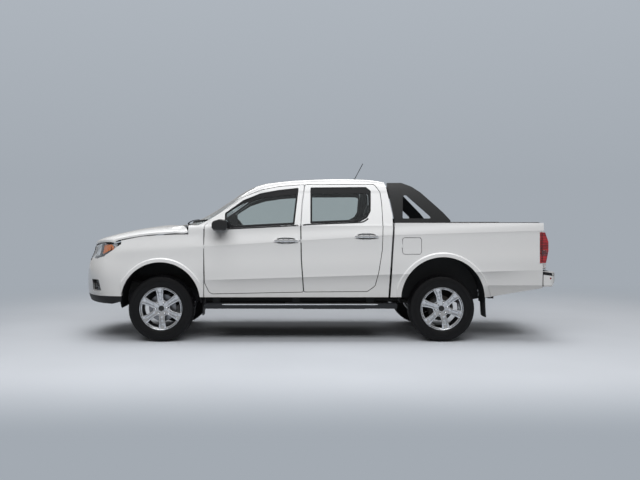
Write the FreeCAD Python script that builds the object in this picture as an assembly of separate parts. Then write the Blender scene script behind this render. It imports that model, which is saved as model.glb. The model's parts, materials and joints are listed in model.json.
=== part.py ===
import FreeCAD, Part
import math
import os
from FreeCAD import Vector

# Millimetres. The truck faces -X, its left side is -Y, the ground is Z = 0.
FRONT_X = -2637.5
REAR_X = 2637.5
FRONT_AXLE_X = -1677.5
REAR_AXLE_X = 1372.5
AXLE_Z = 359.0
TYRE_R = 359.0
TYRE_HALF_WIDTH = 115.0
LIP_R = 233.5
BEAD_R = 224.0
TRACK_HALF = 755.0
KINGPIN_Y = TRACK_HALF - 65.0
HUB_FACE = 30.0
RUN_GAP = 0.3
TOW_EYE_R = 16.0
TOW_EYE = (-2380.0, 370.0, 444.0)
RAIL_IN = 360.0
RAIL_OUT = 430.0
SILL_IN = 735.0
HOOD_AXIS = (-1400.0, 1225.0)
GATE_AXIS = (2514.0, 796.0)
DOOR_AXIS_Y = 893.0
FRONT_DOOR_AXIS_X = -1206.0
REAR_DOOR_AXIS_X = -156.0
FLAP_AXIS = (940.5, 892.0)

FRONT_ARCH = (-1680.0, 437.0, 430.0)
REAR_ARCH = (1378.0, 470.0, 452.0)

DOOR_THICK = 85.0
FRAME_THICK = 28.0
PANEL_THICK = 26.0
SHUT_GAP = 7.0
DOOR_GAP = 12.0
CAB_REAR_X = 838.0
BED_TAIL_X = 2455.0
BED_FLOOR_Z = 790.0
BED_RAIL_Z = 1290.0
LAMP_TAIL_X = 2516.0
SILL_Z = 486.0

# height at the front door, slope towards the tail, half width, foremost x
LEVELS = [
    (400.0, 0.0, 856.0, -2590.0),
    (480.0, 0.0, 868.0, -2624.0),
    (600.0, 0.010, 878.0, -2637.5),
    (700.0, 0.028, 887.0, -2637.5),
    (850.0, 0.030, 889.0, -2622.0),
    (960.0, 0.040, 888.5, -2588.0),
    (1040.0, 0.055, 890.0, -2562.0),
    (1090.0, 0.055, 884.0, -2550.0),
    (1180.0, 0.050, 873.0, -2530.0),
    (1270.0, 0.045, 856.0, -2500.0),
    (1370.0, 0.040, 836.0, -2460.0),
]
# share of the half width, distance back from the foremost point
NOSE_PLAN = [(1.0, 520.0), (0.99, 420.0), (0.96, 340.0), (0.9, 265.0), (0.8, 190.0), (0.65, 115.0), (0.45, 50.0), (0.22, 8.0), (0.0, 0.0)]
# half width of the cab side above the belt at each height
SIDE_CURVE = [(1180.0, 873.0), (1270.0, 856.0), (1370.0, 824.0), (1480.0, 781.0), (1590.0, 731.0), (1680.0, 684.0), (1760.0, 636.0), (1860.0, 566.0)]
# windscreen, roof and rear edge on the middle line
ROOF_LINE = [(-1560.0, 1238.0), (-1470.0, 1275.0), (-1275.0, 1362.0), (-1030.0, 1512.0), (-805.0, 1662.0), (-620.0, 1734.0), (-400.0, 1766.0), (-160.0, 1786.0), (200.0, 1800.0), (500.0, 1797.0), (700.0, 1780.0), (860.0, 1745.0)]
HOOD_LINE = [(-2560.0, 1070.0), (-2427.0, 1114.0), (-2268.0, 1161.0), (-2119.0, 1198.0), (-1896.0, 1239.0), (-1709.0, 1258.0), (-1500.0, 1269.0), (-1380.0, 1272.0)]


def between(table, x):
    """Piecewise line through a table of pairs."""
    if x <= table[0][0]:
        return table[0][1]
    for (x0, y0), (x1, y1) in zip(table, table[1:]):
        if x <= x1:
            return y0 + (y1 - y0) * (x - x0) / (x1 - x0)
    return table[-1][1]


def smooth(table, x):
    """Smooth curve through a table of pairs."""
    if x <= table[0][0]:
        return table[0][1]
    if x >= table[-1][0]:
        return table[-1][1]
    slopes = []
    for i in range(len(table)):
        a = table[max(i - 1, 0)]
        b = table[min(i + 1, len(table) - 1)]
        slopes.append((b[1] - a[1]) / (b[0] - a[0]))
    for i in range(len(table) - 1):
        x0, y0 = table[i]
        x1, y1 = table[i + 1]
        if x <= x1:
            h = x1 - x0
            t = (x - x0) / h
            low = (1 + 2 * t) * (1 - t) ** 2 * y0 + t * (1 - t) ** 2 * h * slopes[i]
            return low + t * t * (3 - 2 * t) * y1 + t * t * (t - 1) * h * slopes[i + 1]


def box(x0, x1, y0, y1, z0, z1):
    return Part.makeBox(x1 - x0, y1 - y0, z1 - z0, Vector(x0, y0, z0))


def tube_y(x, z, radius, y0, y1):
    return Part.makeCylinder(radius, y1 - y0, Vector(x, y0, z), Vector(0, 1, 0))


def mirrored(shape):
    return shape.mirror(Vector(0, 0, 0), Vector(0, 1, 0))


def pair(shape):
    """A left piece and its right twin."""
    return Part.makeCompound(solids(shape) + solids(mirrored(shape)))


def solids(shape):
    return [s for s in shape.Solids if s.Volume > 500.0]


def largest(shape):
    return max(shape.Solids, key=lambda s: s.Volume)


def joined(pieces):
    whole = pieces[0].fuse(pieces[1:])
    return whole.removeSplitter()


def corner_wire(points):
    """Closed outline in the XZ plane, each corner rounded by its own radius."""
    count = len(points)
    ends = []
    arcs = []
    for i in range(count):
        here = Vector(points[i][0], 0, points[i][1])
        radius = points[i][2] if len(points[i]) > 2 else 0
        before = Vector(points[i - 1][0], 0, points[i - 1][1]) - here
        after = Vector(points[(i + 1) % count][0], 0, points[(i + 1) % count][1]) - here
        if radius <= 0:
            ends.append((here, here))
            arcs.append(None)
            continue
        before.normalize()
        after.normalize()
        half = before.getAngle(after) / 2
        reach = radius / math.tan(half)
        start = here + before * reach
        stop = here + after * reach
        middle = before + after
        middle.normalize()
        top = here + middle * (radius / math.sin(half) - radius)
        ends.append((start, stop))
        arcs.append(Part.Arc(start, top, stop).toShape())
    edges = []
    for i in range(count):
        if arcs[i]:
            edges.append(arcs[i])
        a = ends[i][1]
        b = ends[(i + 1) % count][0]
        if (b - a).Length > 0.01:
            edges.append(Part.makeLine(a, b))
    return Part.Wire(edges)


def prism_y(points, y0, y1):
    """Outline given as x, z and corner radius, pushed along Y."""
    face = Part.Face(corner_wire(points))
    face.translate(Vector(0, y0, 0))
    return face.extrude(Vector(0, y1 - y0, 0))


def prism_z(points, z0, z1):
    """Outline given as x, y and corner radius, pushed along Z."""
    shape = prism_y(points, 0, z0 - z1)
    shape.rotate(Vector(0, 0, 0), Vector(1, 0, 0), 90)
    shape = shape.mirror(Vector(0, 0, 0), Vector(0, 1, 0))
    low = shape.BoundBox.ZMin
    shape.translate(Vector(0, 0, z0 - low))
    lowest = min(p[1] for p in points)
    shape.translate(Vector(0, lowest - shape.BoundBox.YMin, 0))
    return shape


def prism_x(points, x0, x1):
    """Outline given as y and z, pushed along X."""
    corners = [Vector(x0, y, z) for y, z in points]
    face = Part.Face(Part.makePolygon(corners + [corners[0]]))
    return face.extrude(Vector(x1 - x0, 0, 0))


def turned(profile, x, y, z):
    """Profile of axial and radial pairs turned about a line along Y."""
    points = [Vector(x, y + a, z + r) for a, r in profile]
    face = Part.Face(Part.makePolygon(points + [points[0]]))
    return face.revolve(Vector(x, y, z), Vector(0, 1, 0), 360)


def bar(a, b, radius):
    start = Vector(*a)
    way = Vector(*b) - start
    return Part.makeCylinder(radius, way.Length, start, way)


def body_block(inset):
    """Whole lower body from nose to tail, moved inwards by the inset."""
    wires = []
    for height, slope, half, nose in LEVELS:
        def point(x, y):
            return Vector(x, y, height + slope * (x + 1200.0))
        wide = half - inset
        front = nose + inset
        left = [point(front + back, -wide * share) for share, back in NOSE_PLAN]
        right = [point(front + back, wide * share) for share, back in reversed(NOSE_PLAN[:-1])]
        curve = Part.BSplineCurve()
        way = Vector(1, 0, slope)
        way.normalize()
        curve.interpolate(Points=left + right, InitialTangent=-way, FinalTangent=way)
        tail = LAMP_TAIL_X + 60.0
        a = point(tail, -wide)
        b = point(tail, wide)
        edges = [curve.toShape(), Part.makeLine(right[-1], b), Part.makeLine(b, a), Part.makeLine(a, left[0])]
        wires.append(Part.Wire(edges))
    return Part.makeLoft(wires, True, False)


def cab_side_block(inset):
    """Prism between the leaning cab sides, inset sideways."""
    left = [Vector(-1600, -(half - inset), height) for height, half in SIDE_CURVE]
    right = [Vector(-1600, half - inset, height) for height, half in SIDE_CURVE]
    a = Part.BSplineCurve()
    a.interpolate(left)
    b = Part.BSplineCurve()
    b.interpolate(right)
    edges = [a.toShape(), Part.makeLine(left[-1], right[-1]), b.toShape(), Part.makeLine(right[0], left[0])]
    return Part.Face(Part.Wire(Part.sortEdges(edges)[0])).extrude(Vector(3200, 0, 0))


def cab_top_face():
    """Windscreen and roof as one surface with rolled sides."""
    shares = [-1.02, -0.985, -0.95, -0.9, -0.82, -0.7, -0.5, -0.25, 0.0, 0.25, 0.5, 0.7, 0.82, 0.9, 0.95, 0.985, 1.02]
    drops = [(0.0, 0.0), (0.25, 2.0), (0.5, 8.0), (0.7, 16.0), (0.82, 25.0), (0.9, 38.0), (0.95, 54.0), (0.985, 74.0), (1.02, 104.0)]
    stations = [-1560, -1440, -1320, -1200, -1080, -960, -840, -740, -660, -560, -440, -300, -100, 100, 300, 500, 640, 760, 860]
    rows = []
    for x in stations:
        row = []
        for share in shares:
            bulge = between([(-1560, 190), (-1200, 170), (-700, 90), (-300, 0), (900, 0)], x) * share * share
            z = smooth(ROOF_LINE, x) - between(drops, abs(share))
            half = between(SIDE_CURVE, smooth(ROOF_LINE, x) - 90)
            row.append(Vector(x + bulge, share * half, z))
        rows.append(row)
    surface = Part.BSplineSurface()
    surface.interpolate(rows)
    return surface.toShape()


def hood_top_face():
    """Hood skin with rolled sides and a curled front edge."""
    shares = [-1.0, -0.985, -0.96, -0.92, -0.86, -0.76, -0.6, -0.4, -0.2, 0.0, 0.2, 0.4, 0.6, 0.76, 0.86, 0.92, 0.96, 0.985, 1.0]
    drops = [(0.0, 0.0), (0.2, 2.0), (0.4, 6.0), (0.6, 11.0), (0.76, 18.0), (0.86, 28.0), (0.92, 38.0), (0.96, 49.0), (0.985, 60.0), (1.0, 70.0)]
    steps = [0.0, 0.006, 0.018, 0.04, 0.08, 0.14, 0.25, 0.4, 0.55, 0.7, 0.85, 1.0]
    curl = [(0.0, 38.0), (0.006, 24.0), (0.018, 12.0), (0.04, 4.5), (0.08, 1.0), (0.14, 0.0), (1.0, 0.0)]
    front = [(0.0, -2550.0), (0.2, -2543.0), (0.4, -2506.0), (0.6, -2450.0), (0.76, -2383.0), (0.86, -2325.0), (0.92, -2280.0), (0.96, -2236.0), (0.985, -2203.0), (1.0, -2168.0)]
    rear = [(0.0, -1530.0), (0.5, -1500.0), (0.8, -1445.0), (1.0, -1385.0)]
    rows = []
    for step in steps:
        row = []
        for share in shares:
            f = abs(share)
            x0 = between(front, f)
            x = x0 + (between(rear, f) - x0) * step
            z = smooth(HOOD_LINE, x) - between(drops, f) - between(curl, step) * (1 - 0.55 * f)
            row.append(Vector(x, share * 872.0, z))
        rows.append(row)
    surface = Part.BSplineSurface()
    surface.interpolate(rows)
    return surface.toShape()


FRONT_DOOR = [(-1206, 1000, 0), (-1200, 1262, 12), (-1107, 1352, 30), (-960, 1447, 40), (-780, 1575, 60), (-590, 1652, 90), (-400, 1690, 60), (-119, 1713, 14), (-150, 1500, 60), (-166, 1242, 60), (-160, 900, 60), (-135, 545, 14), (-1140, 525, 60), (-1196, 640, 60)]
REAR_DOOR = [(-107, 1713, 14), (654, 1713, 40), (712, 1628, 40), (724, 1493, 40), (727, 1249, 60), (718, 1000, 60), (678, 747, 60), (640, 610, 40), (560, 551, 40), (-123, 546, 14), (-148, 900, 60), (-154, 1242, 60), (-138, 1500, 60)]
FRONT_WINDOW = [(-985, 1232, 8), (-985, 1398, 10), (-790, 1540, 60), (-600, 1618, 60), (-400, 1655, 60), (-180, 1679, 12), (-228, 1270, 8)]
REAR_WINDOW = [(-52, 1683, 14), (560, 1688, 30), (615, 1646, 30), (604, 1417, 60), (563, 1345, 40), (486, 1304, 30), (-56, 1282, 10)]


def grown(points, gap):
    """Outline pushed outwards by a gap."""
    face = Part.Face(corner_wire(points))
    return face.makeOffset2D(gap, 2, False, False, True)


def grown_prism(points, gap, y0, y1):
    face = grown(points, gap)
    face.translate(Vector(0, y0, 0))
    return face.extrude(Vector(0, y1 - y0, 0))


def make_shells():
    shells = {}
    shells["outer"] = body_block(0.0)
    shells["panel"] = body_block(PANEL_THICK)
    shells["door"] = body_block(DOOR_THICK)
    shells["swell"] = body_block(-13.0)
    shells["side"] = cab_side_block(0.0)
    shells["side_in"] = cab_side_block(FRAME_THICK)
    top = cab_top_face()
    ahead = [(-1600, -900, 0), (-1357, -900, 0), (-1357, -860, 0), (-1401, -760, 0), (-1462, -590, 0), (-1507, -420, 0), (-1555, 0, 0)]
    ahead += [(x, -y, 0) for x, y, r in reversed(ahead[:-1])]
    front = prism_z(ahead, 1262, 1950)
    shells["over_roof"] = [top.extrude(Vector(0, 0, 700)), front]
    lower = top.copy()
    lower.translate(Vector(0, 0, -34))
    shells["over_roof_in"] = [lower.extrude(Vector(0, 0, 700)), front]
    return shells


def skin(shells, outline, inner):
    """Part of the left outer skin inside an outline."""
    return shells["outer"].common(outline).cut(shells[inner])


def add_handle(shells, door, x0, x1, z):
    """Scoop with a pull strap across it."""
    scoop = prism_y([(x0 + 24, z - 30, 26), (x1 - 24, z - 30, 26), (x1 - 24, z + 30, 26), (x0 + 24, z + 30, 26)], -905, -700)
    strap = shells["swell"].common(prism_y([(x0, z - 16, 14), (x1, z - 16, 14), (x1, z + 16, 14), (x0, z + 16, 14)], -925, -700))
    return joined([door.cut(scoop.cut(body_block(17.0))), strap.cut(body_block(1.0))])


def make_door(shells, outline, window):
    whole = prism_y(outline, -905, -560)
    hole = prism_y(window, -905, -560)
    low = whole.common(box(-1300, 900, -905, -560, 400, 1262))
    high = whole.common(box(-1300, 900, -905, -560, 1262, 1800))
    lower = skin(shells, low, "door")
    upper = shells["side"].common(high).cut(shells["side_in"])
    door = joined([lower, upper]).cut(hole)
    if window is FRONT_WINDOW:
        door = add_handle(shells, door, -449, -190, 1098)
        return largest(door.cut(box(FRONT_DOOR_AXIS_X - 9, FRONT_DOOR_AXIS_X + 5 + RUN_GAP, -905, -DOOR_AXIS_Y + 5 + RUN_GAP, 1009, 1061)))
    door = add_handle(shells, door, 423, 678, 1144)
    pocket = box(REAR_DOOR_AXIS_X - 5, REAR_DOOR_AXIS_X + 9, -888, -780, 1070, 1120)
    return largest(door.cut([pocket, box(REAR_DOOR_AXIS_X - 9, REAR_DOOR_AXIS_X + 5 + RUN_GAP, -905, -DOOR_AXIS_Y + 5 + RUN_GAP, 1070, 1120)]))


def make_door_glass(shells, window):
    pane = prism_y(window, -905, -560)
    outer = cab_side_block(9.0).common(pane)
    return largest(outer.cut(cab_side_block(14.0)))


def make_tyre(x, y, side):
    half = TYRE_HALF_WIDTH
    flank = [(half - 18, BEAD_R), (half - 18, LIP_R + 1), (half - 5, LIP_R + 15), (half, 278), (half - 3, 312), (half - 13, 341), (half - 34, TYRE_R - 5), (half - 73, TYRE_R)]
    profile = [(-a, r) for a, r in flank] + list(reversed(flank))
    return turned(profile, x, y, AXLE_Z)


def make_rim(x, y, side, turn):
    """Six spoke wheel, side -1 faces -Y."""
    out = side
    edge = TYRE_HALF_WIDTH - 17.3
    outside = [(edge, LIP_R), (edge, BEAD_R - 0.3), (80, BEAD_R - 0.3), (62, 206)]
    inside = [(60, 198), (80, 212), (100, 216), (edge + 6, BEAD_R), (edge + 6, LIP_R)]
    barrel = outside + [(-a, r) for a, r in reversed(outside)] + [(-a, r) for a, r in reversed(inside)] + inside
    face = [(60, 0), (60, 45), (86, 60), (88, 120), (92, 218), (60, 205), (54, 120), (46, 60), (HUB_FACE, 45), (HUB_FACE, 0)]
    wheel = turned([(a * out, r) for a, r in barrel], 0, 0, 0)
    plate = turned([(a * out, r) for a, r in face], 0, 0, 0)
    cut = []
    for i in range(6):
        inner = 108.0
        outer = 206.0
        half_in = math.radians(12.0)
        half_out = math.radians(17.8)
        corners = [(inner * math.sin(-half_in), inner * math.cos(half_in), 10), (outer * math.sin(-half_out), outer * math.cos(half_out), 14), (outer * math.sin(half_out), outer * math.cos(half_out), 14), (inner * math.sin(half_in), inner * math.cos(half_in), 10)]
        hole = prism_y(corners, -140, 140)
        hole.rotate(Vector(0, 0, 0), Vector(0, 1, 0), 60 * i + 30)
        cut.append(hole)
        stud = tube_y(0, 57, 11, min(74 * out, 110 * out), max(74 * out, 110 * out))
        stud.rotate(Vector(0, 0, 0), Vector(0, 1, 0), 60 * i)
        cut.append(stud)
        groove = prism_y([(-7, 96, 6), (7, 96, 6), (12, 196, 6), (-12, 196, 6)], min(82 * out, 120 * out), max(82 * out, 120 * out))
        groove.rotate(Vector(0, 0, 0), Vector(0, 1, 0), 60 * i)
        cut.append(groove)
    rim = joined([wheel, plate.cut(cut)])
    rim.rotate(Vector(0, 0, 0), Vector(0, 1, 0), turn)
    rim.translate(Vector(x, y, AXLE_Z))
    return largest(rim)


def make_knuckle():
    """Left upright with stub axle and steering arm."""
    x = FRONT_AXLE_X
    upright = box(x - 32, x + 32, -KINGPIN_Y - 22, -KINGPIN_Y + 22, 290, 470)
    boss = Part.makeCylinder(24, 280, Vector(x, -KINGPIN_Y, 232), Vector(0, 0, 1))
    stub = tube_y(x, AXLE_Z, 40, -TRACK_HALF - 5, -KINGPIN_Y)
    hub = tube_y(x, AXLE_Z, 66, -TRACK_HALF - HUB_FACE + RUN_GAP, -TRACK_HALF + 10)
    arm = box(x + 20, x + 150, -KINGPIN_Y - 10, -KINGPIN_Y + 15, 330, 360)
    return joined([upright, boss, stub, hub, arm])


def rail(side):
    line = [(-2440, 520), (-1950, 520), (-1250, 430), (780, 430), (1060, 545), (1780, 560), (2536, 560), (2536, 660), (1780, 660), (1060, 645), (780, 525), (-1250, 525), (-1950, 615), (-2440, 615)]
    whole = prism_y([(a, b, 0) for a, b in line], -RAIL_OUT, -RAIL_IN)
    return whole if side < 0 else mirrored(whole)


def make_frame():
    """Two rails with their brackets, and the cross members welded between them."""
    horn = box(-2640, -2430, -RAIL_OUT, -RAIL_IN, 520, 615).common(body_block(60.3))
    pieces = [rail(-1), horn]
    pieces.append(box(-1770, -1585, -RAIL_OUT, -RAIL_IN, 235, 560))
    pieces.append(box(-1080, -990, -RAIL_OUT, -RAIL_IN, 330, 440))
    for x, z0, z1 in [(-1060, 500, 560), (-180, 500, 560), (640, 500, 560), (880, 560, 660), (1290, 620, 660), (2000, 640, 660), (2370, 640, 660)]:
        pieces.append(box(x + 5, x + 65, 5 - RAIL_OUT, -RAIL_IN - 5, z0, z1))
    for x in (-1120, -250, 560):
        pieces.append(box(x, x + 90, -620, -425, 450, 522))
    pieces.append(box(760, 830, -545, -425, 395, 520))
    pieces.append(box(1950, 2010, -545, -425, 440, 640))
    left = joined(pieces)
    members = []
    for x0, x1, z0, z1 in [(-2400, -2340, 525, 605), (-1770, -1585, 235, 330), (-1080, -990, 330, 380), (-200, -120, 475, 520), (640, 720, 440, 510), (1180, 1240, 560, 640), (1735, 1795, 570, 650), (2100, 2170, 652.3, 659), (2470, 2530, 570, 650)]:
        members.append(box(x0, x1, -RAIL_IN, RAIL_IN, z0, z1))
    return Part.makeCompound([largest(left), largest(mirrored(left))] + members)


def make_engine():
    return joined([box(-2080, -1345, -230, 230, 480, 1000), box(-1770, -1590, -360, 360, 500, 545)])


def make_suspension():
    left = []
    x = FRONT_AXLE_X
    y_in = -430
    for z0, z1, wide in ((246, 280, 90), (482, 504, 90)):
        arm = prism_z([(x - wide, y_in, 0), (x + wide, y_in, 0), (x + 36, -KINGPIN_Y - 10, 0), (x - 36, -KINGPIN_Y - 10, 0)], z0, z1)
        eye = Part.makeCylinder(44, z1 - z0, Vector(x, -KINGPIN_Y, z0), Vector(0, 0, 1))
        bore = Part.makeCylinder(24 + RUN_GAP, z1 - z0, Vector(x, -KINGPIN_Y, z0), Vector(0, 0, 1))
        left.append(joined([arm, eye]).cut(bore))
    return pair(Part.makeCompound(left))


def make_rear_axle():
    inner = TRACK_HALF - 65.0
    tube = tube_y(REAR_AXLE_X, AXLE_Z, 40, -inner - 10, inner + 10)
    ball = Part.makeSphere(130, Vector(REAR_AXLE_X, 0, AXLE_Z))
    reach = TRACK_HALF + HUB_FACE - RUN_GAP
    ends = [tube_y(REAR_AXLE_X, AXLE_Z, 66, -reach, -inner), tube_y(REAR_AXLE_X, AXLE_Z, 66, inner, reach)]
    return joined([tube, ball] + ends)


def make_springs():
    x0 = 830.0
    x1 = 1950.0
    points = [(x0, 425), (1080, 398), (REAR_AXLE_X, 399), (1690, 415), (x1, 462), (x1, 478), (1690, 440), (REAR_AXLE_X, 440), (1080, 424), (x0, 441)]
    spring = prism_y([(a, b, 0) for a, b in points], -545, -475)
    return pair(spring)


def make_tow_eyes():
    """Recovery eyes under the front ends of the rails, open to a shackle pin from below."""
    web = box(TOW_EYE[0] - 40, TOW_EYE[0] + 40, -RAIL_OUT + 15, -RAIL_OUT + 30, TOW_EYE[2] - 10, 520)
    foot = prism_z([(TOW_EYE[0] - 40, -RAIL_OUT + 30, 0), (TOW_EYE[0] + 40, -RAIL_OUT + 30, 0), (TOW_EYE[0] + 40, -TOW_EYE[1] + 36, 30), (TOW_EYE[0] - 40, -TOW_EYE[1] + 36, 30)], TOW_EYE[2] - 10, TOW_EYE[2] + 10)
    hole = Part.makeCylinder(TOW_EYE_R, 40, Vector(TOW_EYE[0], -TOW_EYE[1], TOW_EYE[2] - 20), Vector(0, 0, 1))
    return pair(joined([web, foot]).cut(hole))


def make_driveline():
    gearbox = box(-1345, -900, -110, 110, 380, 550)
    shaft = bar((-900, 0, 470), (REAR_AXLE_X - 131, 0, AXLE_Z), 34)
    return joined([gearbox, shaft])


def make_exhaust():
    pipe = bar((-900, 250, 395), (1150, 250, 395), 28)
    box_part = Part.makeCylinder(85, 520, Vector(150, 250, 395), Vector(1, 0, 0))
    box_cut = box(100, 720, 100, 380, 432, 520)
    return joined([pipe, box_part.cut(box_cut), box(-880, -820, 230, 360, 400, 440)])


def make_tank():
    return prism_y([(-150, 300, 30), (600, 300, 30), (600, 440, 10), (-150, 440, 0)], -360, -60)


def make_spare():
    profile = [(-72, 190), (-76, 225), (-70, 300), (-40, 328), (40, 328), (70, 300), (76, 225), (72, 190), (40, 180), (40, 30), (28, 30), (28, 180), (-60, 180)]
    spare = turned(profile, 0, 0, 0)
    spare.rotate(Vector(0, 0, 0), Vector(1, 0, 0), 90)
    spare.translate(Vector(2135, 0, 576))
    return largest(spare)


def door_pin(x, z0, z1):
    return Part.makeCylinder(5, z1 - z0, Vector(x, -DOOR_AXIS_Y, z0), Vector(0, 0, 1))


def make_fenders(shells):
    """Left and right front wing with flared arch."""
    outline = [(-2103, 1100, 0), (-1896, 1141, 0), (-1709, 1156, 0), (-1500, 1165, 0), (-1377, 1166, 0), (-1377, 1262, 6), (-1213, 1262, 6), (-1213, 486, 0), (-2103, 486, 0)]
    sheet = skin(shells, prism_y(outline, -905, -500), "panel")
    ring = Part.makeCone(452, 486, 34, Vector(FRONT_ARCH[0], -912, FRONT_ARCH[1]), Vector(0, 1, 0))
    ring = ring.common(box(-2103, -1217, -912, -860, 488, 1000))
    lip = shells["swell"].common(ring).cut(shells["panel"])
    wing = joined([sheet, lip])
    wing = wing.cut(tube_y(FRONT_ARCH[0], FRONT_ARCH[1], FRONT_ARCH[2], -950, -700))
    wing = joined([largest(wing), box(-1216, -1208, -896, -875, 1015, 1055), door_pin(FRONT_DOOR_AXIS_X, 1015, 1055)])
    return largest(wing)


def arch_liner(x, z, radius, y0, y1, floor):
    outer = tube_y(x, z, radius, y0, y1)
    inner = tube_y(x, z, radius - 10, y0 - 5, y1 - 10)
    shell = outer.cut(inner)
    return shell.common(box(x - 600, x + 600, y0 - 10, y1 + 10, floor, z + 700))


def make_bumper_front(shells):
    outline = [(-2700, 497, 0), (-2103, 497, 0), (-2103, 1064, 0), (-2200, 994, 30), (-2307, 925, 30), (-2408, 898, 8), (-2600, 898, 0), (-2600, 866, 0), (-2700, 866, 0)]
    band = shells["outer"].common(prism_y(outline, -905, 905)).cut(body_block(60.0))
    grille = box(-2700, -2450, -330, 330, 530, 640)
    fog = prism_y([(-2464, 671, 8), (-2366, 675, 8), (-2332, 548, 8), (-2449, 544, 8)], -905, -500).cut(body_block(24.0))
    return largest(band.cut([grille, fog, mirrored(fog), box(-2700, -2300, -500, 500, 866, 1100)]))


def make_skirt(shells):
    outline = [(-2700, 430, 0), (-2419, 418, 40), (-2203, 412, 0), (-2103, 440, 0), (-2103, 497, 0), (-2700, 497, 0)]
    return largest(shells["outer"].common(prism_y(outline, -905, 905)).cut(body_block(60.0)))


def make_grille(shells):
    outline = [(-2700, 866, 0), (-2300, 866, 0), (-2300, 1028, 0), (-2480, 1026, 0), (-2556, 1006, 0), (-2700, 1006, 0)]
    band = shells["outer"].common(prism_y(outline, -500, 500)).cut(body_block(70.0))
    cut = []
    for i in range(4):
        z = 884 + i * 28
        cut.append(box(-2700, -2300, -455, 455, z, z + 14).cut(body_block(40.0)))
    return largest(band.cut(cut))


HEADLAMP = [(-2600, 898, 0), (-2408, 898, 8), (-2307, 925, 30), (-2200, 994, 30), (-2103, 1064, 0), (-2103, 1086, 0), (-2203, 1071, 0), (-2280, 1072, 0), (-2325, 1068, 0), (-2383, 1059, 0), (-2450, 1040, 0), (-2506, 1021, 0), (-2600, 1006, 0)]


def make_headlamps(shells):
    outline = prism_y(HEADLAMP, -905, -500)
    lamp = shells["outer"].common(outline).cut(body_block(60.0))
    return pair(largest(lamp))


def make_cab(shells):
    cab_profile = [(-1206, 486, 0), (-1206, 1262, 0), (-1470, 1262, 0), (-1600, 1240, 0), (-1600, 1900, 0), (772, 1900, 0), (772, 1752, 14), (838, 1378, 60), (838, 1285, 0), (788, 486, 0)]
    profile = prism_y(cab_profile, -905, 905)
    low = skin(shells, prism_y([(-1206, 486, 0), (-1206, 1262, 0), (838, 1262, 0), (838, 1255, 0), (788, 486, 0)], -905, -500), "door")
    high = shells["side"].common(profile).common(box(-1600, 900, -905, 905, 1262, 1900)).cut(shells["over_roof"])
    hollow = shells["side_in"].cut(shells["over_roof_in"])
    inner_profile = prism_y([(-1600, 1262, 0), (-1600, 1900, 0), (737, 1900, 0), (737, 1745, 0), (800, 1378, 60), (800, 1262, 0)], -905, 905)
    high = high.cut(hollow.common(inner_profile))
    floor = box(-1190, 790, -775, 775, 560, 590)
    firewall = box(-1330, -1290, -780, 780, 560, 1262).common(shells["outer"])
    toe = box(-1300, -1180, -775, 775, 560, 600)
    cowl = box(-1370, -1200, -870, 870, 1225, 1262).common(shells["panel"])
    back = prism_y([(748, 560, 0), (790, 560, 0), (832, 1262, 0), (836, 1400, 0), (796, 1400, 0), (790, 1262, 0)], -812, 812)
    back = back.common(shells["side"].fuse(body_block(20.0)))
    sills = [box(-1206, 790, -800, -SILL_IN, 486, 585), box(-1206, 790, SILL_IN, 800, 486, 585)]
    hinges = []
    for side in (-1, 1):
        a = min(side * 739, side * 752)
        hinges.append(box(-1412, -1365, a, a + 13, 1213, 1240))
        b = min(side * 705, side * 745)
        hinges.append(tube_y(HOOD_AXIS[0], HOOD_AXIS[1], 7, b, b + 40))
    deep = []
    shallow = []
    for outline in (FRONT_DOOR, REAR_DOOR):
        hole = grown_prism(outline, SHUT_GAP, -960, -500)
        deep += [hole, mirrored(hole)]
        hole = grown_prism(outline, SHUT_GAP, -960, -778)
        shallow += [hole, mirrored(hole)]
    skins = joined([low, mirrored(low), high, cowl]).cut(deep)
    base = joined([floor, toe] + sills).cut(shallow)
    cab = joined([skins, base, firewall, back] + hinges)
    round_arch = tube_y(FRONT_ARCH[0], FRONT_ARCH[1], FRONT_ARCH[2] + 12, -900, -440)
    cab = cab.cut([round_arch, mirrored(round_arch)])
    post = prism_y([(-200, 590, 0), (-90, 590, 0), (-110, 1262, 0), (-90, 1735, 0), (-170, 1735, 0), (-190, 1262, 0)], -905, 0)
    band_low = post.common(body_block(DOOR_THICK + 7)).cut(body_block(DOOR_THICK + 55)).common(box(-300, 0, -905, 0, 480, 1300))
    band_high = post.common(cab_side_block(FRAME_THICK + 7)).cut(cab_side_block(FRAME_THICK + 40)).common(box(-300, 0, -905, 0, 1268, 1735))
    band_high = band_high.cut(shells["over_roof"])
    link = box(-200, -90, -840, -715, 1268, 1300).common(cab_side_block(FRAME_THICK + 7))
    sill_box = box(-205, -85, -785, -700, 560, 600)
    plate = box(REAR_DOOR_AXIS_X - 2, REAR_DOOR_AXIS_X + 3, -890, -785, 1078, 1112)
    post_piece = joined([band_low, band_high, link.common(post), sill_box, plate, door_pin(REAR_DOOR_AXIS_X, 1078, 1112)])
    cab = joined([cab, post_piece, mirrored(post_piece)])
    screen = windscreen_hole(0.0)
    rear = rear_glass_hole(0.0)
    shell = largest(cab.cut([screen, rear]))
    pan = box(-1290, 745, -SILL_IN, SILL_IN, 555, 601)
    return Part.makeCompound(solids(shell.common(pan)) + solids(shell.cut(pan)))


def windscreen_hole(gap):
    """Cutter standing on the sloping windscreen."""
    outline = [(-1560, -700), (-1290, -770), (-1180, -770), (-700, -615), (-660, -560), (-640, 0), (-660, 560), (-700, 615), (-1180, 770), (-1290, 700), (-1560, 700)]
    base = [Vector(x, y, 1200) for x, y in [(-1500, 0), (-1425, -640), (-1300, -755), (-700, -600), (-668, -560), (-650, 0), (-668, 560), (-700, 600), (-1300, 755), (-1425, 640)]]
    face = Part.Face(Part.makePolygon(base + [base[0]]))
    prism = face.extrude(Vector(0, 0, 700))
    return prism.common(box(-1600, -500, -900, 900, 1264, 1900))


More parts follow.
